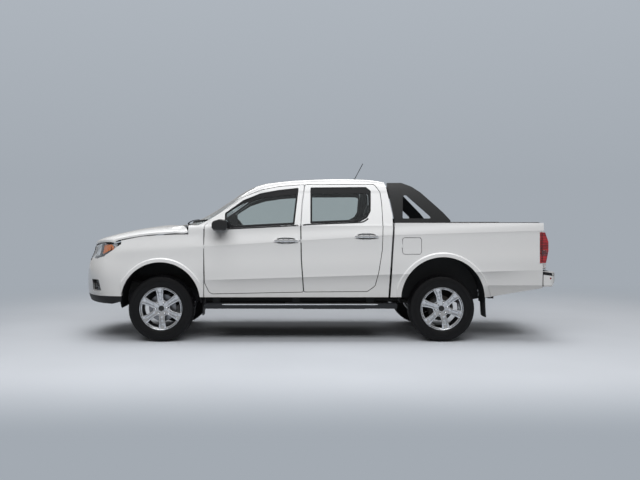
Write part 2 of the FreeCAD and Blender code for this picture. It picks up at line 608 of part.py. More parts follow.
def rear_glass_hole(gap):
    face = Part.Face(Part.makePolygon([Vector(700, y, z) for y, z in [(-560, 1360), (560, 1360), (520, 1670), (-520, 1670), (-560, 1360)]]))
    return face.extrude(Vector(220, 0, 0))


def make_windscreen(shells):
    top = cab_top_face()
    top.translate(Vector(0, 0, -4))
    sheet = top.extrude(Vector(0, 0, -9))
    return largest(sheet.common(windscreen_hole(0.0)).common(shells["side"]))


def make_rear_glass():
    pane = prism_y([(766, 1745, 0), (830, 1378, 60), (832, 1300, 0), (838, 1300, 0), (836, 1378, 60), (772, 1745, 0)], -600, 600)
    pane.translate(Vector(-8, 0, 0))
    return largest(pane.common(rear_glass_hole(0.0)))


def make_hood():
    top = hood_top_face()
    hood = top.extrude(Vector(0, 0, -20))
    x, z = HOOD_AXIS
    lug = prism_y([(-1520, 1238, 0), (-1450, 1236, 0), (x + 13, 1238, 10), (x + 13, 1212, 10), (x - 14, 1212, 6), (-1520, 1222, 0)], -735, -712)
    lug = lug.cut(tube_y(x, z, 7 + RUN_GAP, -740, -700))
    return largest(joined([hood, lug, mirrored(lug)]))


def make_bed(shells):
    side_outline = [(860, 1270, 0), (860, BED_RAIL_Z, 0), (BED_TAIL_X + 10, BED_RAIL_Z, 0), (BED_TAIL_X + 10, 1194, 0), (2422, 1194, 0), (2422, 852, 0), (BED_TAIL_X, 852, 0), (BED_TAIL_X, 584, 0), (2300, 560, 0), (1860, 486, 0), (811, 486, 0)]
    sheet = skin(shells, prism_y(side_outline, -905, -500), "door")
    ring = Part.makeCone(476, 520, 40, Vector(REAR_ARCH[0], -912, REAR_ARCH[1]), Vector(0, 1, 0))
    ring = ring.common(box(880, 1900, -912, -860, 488, 1100))
    lip = shells["swell"].common(ring).cut(shells["door"])
    side = joined([sheet, lip])
    side = side.cut(tube_y(REAR_ARCH[0], REAR_ARCH[1], REAR_ARCH[2], -950, -700))
    side = side.cut(grown_prism(FUEL_FLAP, 6.0, -950, -856))
    pin = Part.makeCylinder(3.5, 40, Vector(FLAP_AXIS[0], -FLAP_AXIS[1], 1020), Vector(0, 0, 1))
    side = joined([side, pin, box(928, 938, -893, -850, 1020, 1060)])
    house = arch_liner(REAR_ARCH[0], REAR_ARCH[1], REAR_ARCH[2] + 12, -815, -560, 420)
    house = house.cut(box(800, 2000, -580, -500, 300, 560))
    floor = box(870, 2440, -815, 815, BED_FLOOR_Z - 30, BED_FLOOR_Z)
    front = box(858, 900, -815, 815, BED_FLOOR_Z - 30, BED_RAIL_Z)
    sills = [box(x, x + 70, -560, 560, 660, 765) for x in (880, 1290, 2000, 2370)]
    hole = tube_y(REAR_ARCH[0], REAR_ARCH[1], REAR_ARCH[2] + 2, -815, -570)
    floor = floor.cut([hole, mirrored(hole)])
    ribs = [box(905, 2432, y - 28, y + 28, BED_FLOOR_Z - 2, BED_FLOOR_Z + 7) for y in range(-448, 449, 112)]
    bed = joined([side, mirrored(side), floor, front] + sills + ribs)
    ears = []
    for sign in (-1, 1):
        a = min(sign * 752, sign * 765)
        ears.append(box(2424, GATE_AXIS[0] + 12, a, a + 13, 782, 848))
        b = min(sign * 752, sign * 830)
        ears.append(box(2424, 2444, b, b + 78, 782, 848))
        c = min(sign * 700, sign * 765)
        ears.append(tube_y(GATE_AXIS[0], GATE_AXIS[1], 8, c, c + 65))
    bed = joined([bed, house, mirrored(house)] + ears)
    return largest(bed)


FUEL_FLAP = [(942, 955, 24), (1142, 955, 24), (1142, 1128, 24), (942, 1128, 24)]


def make_flap(shells):
    flap = skin(shells, prism_y(FUEL_FLAP, -905, -700), "panel")
    return largest(flap.cut(Part.makeCylinder(3.5 + RUN_GAP, 60, Vector(FLAP_AXIS[0], -FLAP_AXIS[1], 1010), Vector(0, 0, 1))))


def make_tailgate():
    outline = [(2446, 800, 4), (2500, 800, 10), (2508, 1180, 60), (2512, 1286, 14), (2446, 1286, 4)]
    gate = prism_y(outline, -742, 742)
    field = prism_y([(2497.1, 880, 0), (2500.5, 1060, 0), (2530, 1060, 0), (2530, 880, 0)], -600, 600)
    grip = box(2490, 2530, -115, 115, 1115, 1195)
    gate = joined([gate.cut([field, grip]), prism_y([(2494, 1160, 4), (2506, 1160, 4), (2507, 1186, 4), (2494, 1186, 4)], -118, 118)])
    x, z = GATE_AXIS
    for sign in (-1, 1):
        a = min(sign * 690, sign * 742)
        knuckle = joined([tube_y(x, z, 16, a, a + 52), box(2480, x, a, a + 52, z, 822)])
        gate = gate.fuse(knuckle).cut(tube_y(x, z, 8 + RUN_GAP, min(sign * 698, sign * 770), min(sign * 698, sign * 770) + 72))
    return largest(gate.removeSplitter())


def make_tail_lamps(shells):
    outline = [(2422, 858, 0), (2490, 858, 10), (LAMP_TAIL_X, 990, 40), (LAMP_TAIL_X, 1085, 40), (2480, 1188, 10), (2422, 1188, 0)]
    lamp = shells["outer"].common(prism_y(outline, -905, -770))
    return pair(largest(lamp))


def make_bumper_rear():
    outline = [(2350, -872, 0), (2590, -872, 70), (REAR_X, -700, 120), (REAR_X, 700, 120), (2590, 872, 70), (2350, 872, 0), (2350, 800, 0), (2530, 800, 40), (2545, 0, 0), (2530, -800, 40), (2350, -800, 0)]
    whole = prism_z(outline, 585, 770)
    side = prism_y([(2462, 600, 0), (2560, 600, 10), (2585, 640, 20), (REAR_X, 735, 4), (REAR_X, 748, 4), (2462, 766, 0)], -900, 900)
    mount = box(2536, 2560, -430, 430, 590, 660)
    return joined([whole.common(side), mount.common(side)])


def make_sport_bar():
    shape = [(797, 1735, 10), (960, 1736, 60), (1069, 1693, 60), (1164, 1627, 60), (1392, 1408, 60), (1470, 1318, 10), (1470, 1296, 0), (866, 1296, 0)]
    hole = [(970, 1631, 30), (1281, 1339, 14), (950, 1339, 14)]
    side = prism_y(shape, -905, 0).common(cab_side_block(18.0)).cut(cab_side_block(70.0))
    side = side.cut(prism_y(hole, -905, 0))
    cross = [box(830, 890, -640, 640, 1650, 1700)]
    foot = box(866, 1470, -840, -800, 1290, 1300)
    return joined([side, mirrored(side), foot, mirrored(foot)] + cross)


def make_steps():
    left = prism_y([(-1200, 365, 10), (880, 365, 10), (880, 420, 14), (-1200, 420, 14)], -900, -770)
    links = [box(x, x + 80, -800, -620, 400, 470) for x in (-1120, -250, 560)]
    return pair(joined([left] + links))


def make_mud_flaps():
    return pair(box(1842, 1850, -868, -630, 270, 486))


def make_dash():
    body = prism_y([(-1286, 900, 0), (-1040, 900, 30), (-980, 1120, 40), (-1080, 1222, 30), (-1286, 1216, 0)], -760, 760)
    console = box(-1150, -300, -110, 110, 590, 780)
    way = Vector(math.sin(math.radians(65)), 0, math.cos(math.radians(65)))
    start = Vector(-900, -370, 1130) - way * (15 + RUN_GAP)
    column = Part.makeCylinder(30, 190, start, way * -1)
    return joined([body, console, box(-1280, -1060, -110, 110, 600, 910), column])


def seat(x, y, wide, back):
    base = prism_y([(x, 720, 20), (x + 470, 700, 20), (x + 480, 800, 30), (x, 850, 40)], y - wide, y + wide)
    rest = prism_y([(x + 400, 730, 10), (x + 500, 730, 10), (x + 660, 1330, 30), (x + 560, 1350, 30)], y - wide, y + wide)
    head = prism_y([(x + 570, 1370, 20), (x + 640, 1360, 20), (x + 680, 1500, 20), (x + 610, 1510, 20)], y - min(wide, 130), y + min(wide, 130))
    post = box(x + 595, x + 625, y - 10, y + 10, 1300, 1400)
    legs = box(x + 60, x + 440, y - wide + 60, y + wide - 60, 590, 740)
    return joined([base, rest, head, post, legs])


def make_front_seats():
    return pair(seat(-700, -370, 240, 600))


def make_rear_seats():
    return seat(60, 0, 640, 600)


def make_steering_wheel():
    ring = Part.makeTorus(175, 15)
    hub = Part.makeCylinder(56, 36, Vector(0, 0, -15))
    spokes = [Part.makeBox(340, 24, 12, Vector(-170, -12, -8)), Part.makeBox(24, 170, 12, Vector(-12, -170, -8))]
    wheel = joined([ring, hub] + spokes)
    wheel.rotate(Vector(0, 0, 0), Vector(0, 1, 0), 65)
    wheel.translate(Vector(-900, -370, 1130))
    return largest(wheel)


def make_mirror():
    outline = [(-1107, 1218, 34), (-1104, 1306, 40), (-1020, 1333, 60), (-938, 1320, 34), (-944, 1208, 30)]
    shape = prism_y(outline, -1080, -900)
    shape = shape.makeFillet(16, [e for e in shape.Edges if e.BoundBox.YLength < 0.1 and e.BoundBox.YMin < -1000])
    shape = shape.cut(prism_y([(-952, 1226, 20), (-952, 1308, 20), (-930, 1308, 0), (-930, 1226, 0)], -1068, -914))
    stalk = box(-1060, -1010, -910, -848, 1222, 1262)
    return joined([shape, stalk])


def make_antenna():
    return joined([bar((484, 0, 1797), (590, 0, 1995), 4), bar((484, 0, 1794), (488, 0, 1812), 16)])


def build_all():
    shells = make_shells()
    nodes = {}
    nodes["frame_ladder"] = make_frame()
    nodes["engine_block"] = make_engine()
    nodes["front_arms"] = make_suspension()
    nodes["rear_axle"] = make_rear_axle()
    nodes["leaf_springs"] = make_springs()
    nodes["driveline"] = make_driveline()
    nodes["tow_eyes"] = make_tow_eyes()
    nodes["exhaust"] = make_exhaust()
    nodes["fuel_tank"] = make_tank()
    nodes["spare_wheel"] = make_spare()
    nodes["cab_shell"] = make_cab(shells)
    nodes["windscreen"] = make_windscreen(shells)
    nodes["rear_glass"] = make_rear_glass()
    nodes["front_wings"] = pair(make_fenders(shells))
    liner = arch_liner(FRONT_ARCH[0], FRONT_ARCH[1], FRONT_ARCH[2] + 12, -862, -440, 420)
    liner = liner.cut(box(-2300, -1000, -460, -400, 300, 700)).common(shells["panel"])
    liner = liner.common(box(-2103, -1216, -900, -300, 300, 1000))
    nodes["arch_liners"] = pair(liner)
    nodes["front_bumper"] = make_bumper_front(shells)
    nodes["front_skirt"] = make_skirt(shells)
    nodes["grille"] = make_grille(shells)
    nodes["headlamps"] = make_headlamps(shells)
    nodes["hood"] = make_hood()
    nodes["dashboard"] = make_dash()
    nodes["front_seats"] = make_front_seats()
    nodes["rear_seat"] = make_rear_seats()
    nodes["steering_wheel"] = make_steering_wheel()
    nodes["antenna"] = largest(make_antenna().cut(nodes["cab_shell"]))
    nodes["bed_shell"] = make_bed(shells)
    nodes["tail_lamps"] = make_tail_lamps(shells)
    nodes["rear_bumper"] = make_bumper_rear()
    nodes["sport_bar"] = make_sport_bar()
    nodes["side_steps"] = make_steps()
    nodes["mud_flaps"] = make_mud_flaps()
    nodes["tailgate"] = make_tailgate()
    nodes["fuel_flap"] = make_flap(shells)
    door_f = make_door(shells, FRONT_DOOR, FRONT_WINDOW)
    door_r = make_door(shells, REAR_DOOR, REAR_WINDOW)
    glass_f = make_door_glass(shells, FRONT_WINDOW)
    glass_r = make_door_glass(shells, REAR_WINDOW)
    mirror = largest(make_mirror().cut(door_f))
    for name, shape in (("door_front", door_f), ("door_rear", door_r), ("glass_front", glass_f), ("glass_rear", glass_r), ("mirror", mirror)):
        nodes[name + "_left"] = shape
        nodes[name + "_right"] = mirrored(shape)
    knuckle = make_knuckle()
    nodes["knuckle_left"] = knuckle
    nodes["knuckle_right"] = mirrored(knuckle)
    corners = {"front_left": (FRONT_AXLE_X, -1, -4.5), "front_right": (FRONT_AXLE_X, 1, -4.5), "rear_left": (REAR_AXLE_X, -1, -12.5), "rear_right": (REAR_AXLE_X, 1, -12.5)}
    for name, (x, side, turn) in corners.items():
        nodes["rim_" + name] = make_rim(x, side * TRACK_HALF, side, turn)
        nodes["tyre_" + name] = make_tyre(x, side * TRACK_HALF, side)
    return nodes


def main():
    os.makedirs("parts", exist_ok=True)
    nodes = build_all()
    for name, shape in nodes.items():
        shape.exportStep("parts/" + name + ".step")
        bounds = shape.BoundBox
        line = [round(v) for v in (bounds.XMin, bounds.XMax, bounds.YMin, bounds.YMax, bounds.ZMin, bounds.ZMax)]
        print(name, len(shape.Solids), shape.isValid(), round(shape.Volume / 1e6, 2), line, flush=True)


main()
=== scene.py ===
import json
import math

import bmesh
import bpy
import numpy as np
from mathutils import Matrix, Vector
from mathutils.bvhtree import BVHTree


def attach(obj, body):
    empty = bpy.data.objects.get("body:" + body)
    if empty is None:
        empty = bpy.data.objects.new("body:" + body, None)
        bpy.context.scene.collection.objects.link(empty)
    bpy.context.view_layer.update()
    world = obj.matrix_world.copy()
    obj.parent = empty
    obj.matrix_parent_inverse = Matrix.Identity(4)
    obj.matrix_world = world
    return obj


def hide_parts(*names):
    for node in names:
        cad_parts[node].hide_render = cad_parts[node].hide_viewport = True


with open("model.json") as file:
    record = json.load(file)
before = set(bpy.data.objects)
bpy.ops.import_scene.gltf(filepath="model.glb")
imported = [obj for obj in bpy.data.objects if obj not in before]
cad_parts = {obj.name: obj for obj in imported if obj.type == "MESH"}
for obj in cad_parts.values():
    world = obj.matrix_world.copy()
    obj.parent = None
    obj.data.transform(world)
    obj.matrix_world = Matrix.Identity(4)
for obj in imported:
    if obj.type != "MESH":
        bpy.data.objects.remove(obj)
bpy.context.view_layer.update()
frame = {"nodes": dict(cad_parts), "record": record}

scene = bpy.context.scene
nodes = frame["nodes"]
sides = {"left": -1.0, "right": 1.0}
print("stage: frame loaded")


def hexLinear(code, scale=1.0):
    # sRGB hex to the linear colour that the shaders take, made paler or darker by a scale
    parts = np.array([int(code[i:i + 2], 16) for i in (1, 3, 5)]) / 255.0
    linear = np.where(parts <= 0.04045, parts / 12.92, ((parts + 0.055) / 1.055) ** 2.4)
    return (*np.minimum(linear * scale, 1.0), 1.0)


def addNode(tree, kind, inputs=(), stops=(), **settings):
    # one node with its settings and ramp stops; an input takes a plain value or the socket that feeds it
    node = tree.nodes.new("ShaderNode" + kind)
    for key, value in settings.items():
        setattr(node, key, value)
    for key, value in inputs.items() if isinstance(inputs, dict) else enumerate(inputs):
        if isinstance(value, bpy.types.NodeSocket):
            tree.links.new(value, node.inputs[key])
        else:
            node.inputs[key].default_value = value
    if stops:
        elements = node.color_ramp.elements
        while len(elements) < len(stops):
            elements.new(0.5)
        for element, (place, color) in zip(elements, stops):
            element.position, element.color = place, color
    return node.outputs


def newMaterial(name):
    # an empty material, its tree and its texture coordinates
    material = bpy.data.materials.new(name)
    material.use_nodes = True
    tree = material.node_tree
    tree.nodes.clear()
    return material, tree, addNode(tree, "TexCoord")


def stepProduct(tree, steps):
    # product of smooth steps, each of a value from 0 at one place to 1 at another
    product = 1.0
    for value, low, high in steps:
        span = {"Value": value, "From Min": low, "From Max": high}
        step = addNode(tree, "MapRange", span, interpolation_type="SMOOTHSTEP")[0]
        product = addNode(tree, "Math", (product, step), operation="MULTIPLY")[0]
    return product


bodyEnamel = {
    "color": "#E6E7E8", "roughness": 0.34, "dustRoughness": 0.6, "coatRoughness": 0.04,
    "peel": 0.004, "peelDepth": 0.0004, "dust": "#B9B4AC", "dustTop": 0.62, "dustLow": 0.36, "dustMost": 0.55,
    "grit": 0.09, "inside": "#1B1D20", "under": "#121315", "liningGrain": 0.004,
    "archCentre": (1.378, 0.0, 0.470),
}

# faces that carry trim, liner or underseal in place of paint: a patch is a product of smooth steps of a
# quantity between two values, and a part's mask is the largest of its patches
hiddenFaces = {
    "door": [[("outwards", -0.25, -0.3)]],
    "gate": [[("facingX", -0.5, -0.55)]],
    "cab": [
        [("facingZ", -0.45, -0.5), ("z", 1.3, 1.302)],
        [("depth", 0.832, 0.83), ("z", 1.262, 1.26), ("facingX", 0.65, 0.6)],
        [("depth", 0.832, 0.83), ("z", 1.262, 1.26), ("x", 0.702, 0.7)],
        [("outwards", -0.25, -0.3), ("z", 0.5, 0.502)],
        [("facingX", -0.4, -0.45), ("x", 0.6, 0.602)],
    ],
    "bed": [
        [("fromArch", 0.4555, 0.4545), ("depth", 0.8795, 0.879)],
        [("z", 0.755, 0.757), ("depth", 0.83, 0.829), ("x", 0.862, 0.864), ("x", 2.444, 2.442)],
        [("z", 0.79, 0.788), ("depth", 0.86, 0.859)],
        [("outwards", -0.25, -0.3)],
    ],
}

# pressed lines of the body side: a line runs at the lowest of its levels, slope * x + height; each fold
# turns the panel away above it (1) or below it (-1) by a slope that dies out over a reach; along x from
# one place to another the whole goes from one strength to another
pressedLines = [
    {
        "levels": [(0.0616, 1.110), (0.0305, 1.1328)],
        "folds": [(1, 0.05, 0.045), (-1, 0.20, 0.020), (-1, 0.035, 0.14)],
        "places": (-1.0, 0.0), "strengths": (1.0, 1.0),
    },
    {
        "levels": [(0.03, 0.708)], "folds": [(-1, 0.36, 0.08), (1, 0.12, 0.04)],
        "places": (1.9, 2.4), "strengths": (1.0, 0.25),
    },
    {
        "levels": [(0.0, 0.615)], "folds": [(-1, 0.35, 0.2)],
        "places": (1.78, 1.9), "strengths": (0.0, 1.0),
    },
]


def hiddenMask(tree, kind, place):
    # 1 on a part's hidden faces, crisp in place and in the way a face points
    at = addNode(tree, "SeparateXYZ", {"Vector": place["Object"]})
    facing = addNode(tree, "SeparateXYZ", {"Vector": place["Normal"]})
    sign = addNode(tree, "Math", (at["Y"],), operation="SIGN")[0]
    flat = addNode(tree, "VectorMath", (place["Object"], (1.0, 0.0, 1.0)), operation="MULTIPLY")[0]
    arch = addNode(tree, "VectorMath", (flat, bodyEnamel["archCentre"]), operation="DISTANCE")["Value"]
    known = {
        "x": at["X"], "z": at["Z"], "facingX": facing["X"], "facingZ": facing["Z"], "fromArch": arch,
        "depth": addNode(tree, "Math", (at["Y"],), operation="ABSOLUTE")[0],
        "outwards": addNode(tree, "Math", (facing["Y"], sign), operation="MULTIPLY")[0],
    }
    mask = 0.0
    for patch in hiddenFaces[kind]:
        inside = stepProduct(tree, [(known[quantity], low, high) for quantity, low, high in patch])
        mask = addNode(tree, "Math", (mask, inside), operation="MAXIMUM")[0]
    return mask


def creaseHeight(tree, at):
    # a fold is slope * reach * (1 - exp(-gap / reach)) deep, steepest at its line and flat a few reaches away
    total = 0.0
    for line in pressedLines:
        level = 10.0
        for slope, height in line["levels"]:
            run = addNode(tree, "Math", (at["X"], slope, height), operation="MULTIPLY_ADD")[0]
            level = addNode(tree, "Math", (level, run), operation="MINIMUM")[0]
        gap = addNode(tree, "Math", (at["Z"], level), operation="SUBTRACT")[0]
        deep = 0.0
        for way, slope, reach in line["folds"]:
            away = addNode(tree, "Math", (gap, -way / reach), operation="MULTIPLY")[0]
            away = addNode(tree, "Math", (away, 0.0), operation="MINIMUM")[0]
            fade = addNode(tree, "Math", (away,), operation="EXPONENT")[0]
            rise = addNode(tree, "Math", (1.0, fade), operation="SUBTRACT")[0]
            deep = addNode(tree, "Math", (rise, slope * reach, deep), operation="MULTIPLY_ADD")[0]
        (start, stop), (first, last) = line["places"], line["strengths"]
        span = {"Value": at["X"], "From Min": start, "From Max": stop, "To Min": first, "To Max": last}
        along = addNode(tree, "MapRange", span, interpolation_type="SMOOTHSTEP")[0]
        total = addNode(tree, "Math", (deep, along, total), operation="MULTIPLY_ADD")[0]
    # only behind the nose and on the side panels, and inwards
    depth = addNode(tree, "Math", (at["Y"],), operation="ABSOLUTE")[0]
    where = stepProduct(tree, [(at["X"], -1.5, -0.85), (depth, 0.7, 0.72)])
    inwards = addNode(tree, "Math", (total, -1.0), operation="MULTIPLY")[0]
    return addNode(tree, "Math", (inwards, where), operation="MULTIPLY")[0]


def makeBodyEnamel(name, kind):
    # white two-coat car enamel, sprayed and clear-coated: deep gloss, faint orange peel, thin dust low down;
    # dark trim, liner or underseal on the hidden faces
    paint = bodyEnamel
    material, tree, place = newMaterial(name)
    where = place["Object"]
    at = addNode(tree, "SeparateXYZ", {"Vector": where})
    low = addNode(tree, "MapRange", {
        "Value": at["Z"], "From Min": paint["dustTop"], "From Max": paint["dustLow"],
        "To Min": 0.0, "To Max": paint["dustMost"]})[0]
    cloud = {"Vector": where, "Scale": 1.0 / paint["grit"], "Detail": 5.0, "Roughness": 0.62}
    grit = addNode(tree, "TexNoise", cloud)["Fac"]
    amount = addNode(tree, "Math", (low, grit), operation="MULTIPLY")[0]
    tones = {"Factor": amount, "A": hexLinear(paint["color"]), "B": hexLinear(paint["dust"])}
    span = {"Value": amount, "To Min": paint["roughness"], "To Max": paint["dustRoughness"]}
    peel = addNode(tree, "TexNoise", {"Vector": where, "Scale": 1.0 / paint["peel"], "Detail": 1.0})["Fac"]
    crease = addNode(tree, "Bump", {"Height": creaseHeight(tree, at), "Strength": 1.0, "Distance": 1.0})[0]
    surface = addNode(tree, "BsdfPrincipled", {
        "Base Color": addNode(tree, "Mix", tones, data_type="RGBA")["Result"],
        "Roughness": addNode(tree, "MapRange", span)[0],
        "Normal": addNode(tree, "Bump", {
            "Height": peel, "Strength": 0.05, "Distance": paint["peelDepth"], "Normal": crease})[0],
        "Coat Weight": 1.0, "Coat Roughness": paint["coatRoughness"], "IOR": 1.5})[0]
    if kind != "outer":
        grain = {"Vector": where, "Scale": 1.0 / paint["liningGrain"]}
        cells = addNode(tree, "TexVoronoi", grain)["Distance"]
        tones = [(0.3, hexLinear(paint["under"])), (0.75, hexLinear(paint["inside"]))]
        lining = addNode(tree, "BsdfPrincipled", {
            "Base Color": addNode(tree, "ValToRGB", {"Fac": grit}, tones)["Color"],
            "Normal": addNode(tree, "Bump", {"Height": cells, "Strength": 0.5, "Distance": 0.0006})[0],
            "Roughness": 0.78, "IOR": 1.49})[0]
        surface = addNode(tree, "MixShader", (hiddenMask(tree, kind, place), surface, lining))[0]
    addNode(tree, "OutputMaterial", {"Surface": surface})
    return material


def makeFinish(name, shader, cloud, rough, tones=(), relief=None):
    # one noise of real size, detail and mix gives the clouds of tone and roughness; the relief is finer
    material, tree, place = newMaterial(name)
    size, detail, mix = cloud
    noise = {"Vector": place["Object"], "Scale": 1.0 / size, "Detail": detail, "Roughness": mix}
    clouds = addNode(tree, "TexNoise", noise)["Fac"]
    rough = dict(zip(("To Min", "To Max", "From Min", "From Max"), rough))
    inputs = {**shader, "Roughness": addNode(tree, "MapRange", {"Value": clouds, **rough})[0]}
    if tones:
        inputs["Base Color"] = addNode(tree, "ValToRGB", {"Fac": clouds}, tones)["Color"]
    if relief:
        kind, grain, strength, depth = relief
        height = addNode(tree, kind, {"Vector": place["Object"], **grain})[0]
        bump = {"Height": height, "Strength": strength, "Distance": depth}
        inputs["Normal"] = addNode(tree, "Bump", bump)[0]
    addNode(tree, "OutputMaterial", {"Surface": addNode(tree, "BsdfPrincipled", inputs)[0]})
    return material


def makeGrainedPlastic(name, color, grain, roughness):
    # injection-moulded polypropylene with an etched leather grain: dull, slightly greyer on the high spots
    tones = [(0.3, hexLinear(color)), (0.75, hexLinear(color, 1.45))]
    leather = ("TexVoronoi", {"Scale": 1.0 / grain}, 0.4, 0.00025)
    rough = (roughness - 0.06, roughness + 0.1)
    return makeFinish(name, {"IOR": 1.49}, (0.12, 4.0, 0.5), rough, tones, leather)


def makeGlossPlastic(name, color, roughness=0.12):
    # ABS moulding with a polished tool finish: tight reflections, a few faint scuffs
    tones = [(0.2, hexLinear(color)), (0.9, hexLinear(color, 1.2))]
    shader = {"IOR": 1.53, "Coat Weight": 0.4, "Coat Roughness": 0.08}
    return makeFinish(name, shader, (0.02, 6.0, 0.7), (roughness, roughness + 0.16, 0.35, 0.8), tones)


def makeRubber():
    # vulcanised tyre rubber with carbon black: matt, paler where dust holds, fine mould lines
    tones = [(0.25, hexLinear("#050506")), (0.8, hexLinear("#0D0D0F"))]
    shader = {"IOR": 1.52, "Specular IOR Level": 0.26}
    lines = ("TexNoise", {"Scale": 1.0 / 0.0025, "Detail": 2.0}, 0.35, 0.0006)
    return makeFinish("vulcanisedTyreRubber", shader, (0.05, 5.0, 0.65), (0.42, 0.62), tones, lines)


def makeMetal(name, color, roughness, spread=0.1, grain=0.02, coat=0.0):
    # cast, plated or turned metal; the spread of roughness is the handling and brake dust on it
    tones = [(0.2, hexLinear(color, 0.86)), (0.8, hexLinear(color))]
    shader = {"Metallic": 1.0, "Coat Weight": coat, "Coat Roughness": 0.06}
    rough = (max(0.02, roughness - spread / 2), roughness + spread / 2)
    pits = ("TexNoise", {"Scale": 12.0 / grain, "Detail": 2.0}, 0.08, 0.0003)
    return makeFinish(name, shader, (grain, 5.0, 0.6), rough, tones, pits)


def makeChassisPaint(name, color, roughness):
    # dipped black chassis paint over hot-rolled steel: half-matt, runs and road dust gathered on it
    tones = [(0.3, hexLinear(color)), (0.72, hexLinear("#3A3835"))]
    runs = ("TexNoise", {"Scale": 1.0 / 0.006, "Detail": 3.0}, 0.25, 0.0006)
    rough = (roughness - 0.08, roughness + 0.2)
    return makeFinish(name, {"IOR": 1.5}, (0.07, 6.0, 0.65), rough, tones, runs)


def makeClearPane(name, color, ior=1.5):
    # float glass or moulded polycarbonate: clear with a body tint, faintly smeared
    shader = {"Base Color": hexLinear(color), "Transmission Weight": 1.0, "IOR": ior}
    return makeFinish(name, shader, (0.15, 3.0, 0.5), (0.0, 0.02))


def makeCloth():
    # woven polyester seat cloth, threads 0.9 mm apart drawn at 3 mm so that the weave shows
    material, tree, place = newMaterial("wovenSeatCloth")
    thread = {"Vector": place["Object"], "Scale": 1.0 / 0.003 / 6.283, "Distortion": 0.6}
    threads = [addNode(tree, "TexWave", thread, bands_direction=way)["Fac"] for way in "XZ"]
    weave = addNode(tree, "Math", threads, operation="MULTIPLY")[0]
    tones = [(0.1, hexLinear("#26282B")), (0.8, hexLinear("#4A4D51"))]
    cloth = addNode(tree, "BsdfPrincipled", {
        "Base Color": addNode(tree, "ValToRGB", {"Fac": weave}, tones)["Color"],
        "Normal": addNode(tree, "Bump", {"Height": weave, "Strength": 0.5, "Distance": 0.0006})[0],
        "Roughness": 0.9, "Sheen Weight": 0.35, "Sheen Roughness": 0.5})[0]
    addNode(tree, "OutputMaterial", {"Surface": cloth})
    return material


def makeRedLens():
    # red moulded acrylic over a prismatic reflector, ribs 9 mm apart: deep red with bright bars, the ribs
    # real and the bright bars a painted reflection of the prisms; the faces that look inwards are the black
    # housing
    material, tree, place = newMaterial("redPrismaticAcrylic")
    rib = {"Vector": place["Object"], "Scale": 1.0 / 0.009 / 6.283, "Distortion": 0.0}
    wave = addNode(tree, "TexWave", rib, bands_direction="Z")["Fac"]
    cloud = {"Vector": place["Object"], "Scale": 1.0 / 0.07, "Detail": 2.0}
    blotch = addNode(tree, "TexNoise", cloud)["Fac"]
    both = addNode(tree, "Math", (wave, 0.35, blotch), operation="MULTIPLY_ADD")[0]
    # painted reflection: the tone steps with the ribs, bright red on their crests and deep red between
    tones = [(0.35, hexLinear("#3C0105")), (0.6, hexLinear("#86060E")), (0.85, hexLinear("#C4252C"))]
    lens = addNode(tree, "BsdfPrincipled", {
        "Base Color": addNode(tree, "ValToRGB", {"Fac": both}, tones)["Color"],
        "Normal": addNode(tree, "Bump", {"Height": wave, "Strength": 0.3, "Distance": 0.0008})[0],
        "Roughness": 0.12, "Coat Weight": 1.0, "Coat Roughness": 0.02, "IOR": 1.49})[0]
    housing = addNode(tree, "BsdfPrincipled", {"Base Color": hexLinear("#141517"), "Roughness": 0.6})[0]
    surface = addNode(tree, "MixShader", (hiddenMask(tree, "door", place), lens, housing))[0]
    addNode(tree, "OutputMaterial", {"Surface": surface})
    return material


enamel = makeBodyEnamel("clearCoatedWhiteEnamel", "outer")
cabEnamel = makeBodyEnamel("whiteEnamelOverCabTrim", "cab")
doorEnamel = makeBodyEnamel("whiteEnamelOverDoorTrim", "door")
bedEnamel = makeBodyEnamel("whiteEnamelOverBedLiner", "bed")
gateEnamel = makeBodyEnamel("whiteEnamelOverGateLiner", "gate")
blackPlastic = makeGrainedPlastic("grainedBlackPolypropylene", "#0E0F11", 0.0022, 0.62)
darkPlastic = makeGrainedPlastic("grainedGreyPolypropylene", "#1A1C1F", 0.0025, 0.52)
trimPlastic = makeGrainedPlastic("softTouchDashMoulding", "#202224", 0.0022, 0.7)
glossBlack = makeGlossPlastic("polishedBlackPlastic", "#0B0C0E")
barPaint = makeGlossPlastic("satinGreyBarPaint", "#0D0F11", 0.42)
rubber = makeRubber()
wheelSilver = makeMetal("silverLacqueredCastAluminium", "#D3D5D8", 0.24, 0.1, 0.03, 0.6)
brightTrim = makeMetal("chromiumPlate", "#E9EBEE", 0.07, 0.05, 0.05)
mirrorSilver = makeMetal("silveredMirrorGlass", "#F2F4F6", 0.03, 0.02, 0.1)
lampReflector = makeGlossPlastic("silverLacqueredReflector", "#D9DCDF", 0.2)
discSteel = makeMetal("turnedDiscSteel", "#8D8F93", 0.32, 0.12, 0.01)
exhaustSteel = makeMetal("heatStainedExhaustSteel", "#8A8176", 0.42, 0.2, 0.05)
castIron = makeChassisPaint("paintedCastIron", "#1B1C1E", 0.6)
chassisPaint = makeChassisPaint("dippedBlackChassisPaint", "#0D0E10", 0.45)
sideGlass = makeClearPane("tintedFloatGlass", "#F0F5F2")
clearLens = makeClearPane("clearMouldedPolycarbonate", "#F4F6F8", 1.58)
amberLens = makeGlossPlastic("amberAcrylic", "#C0651C")
redLens = makeRedLens()
seatCloth = makeCloth()
# painted shadow: a mid-grey gloss sheet laid in the white handle scoop, for the shade round the strap
paintedScoopShadow = makeGlossPlastic("satinHandleCup", "#4A4D50", 0.3)
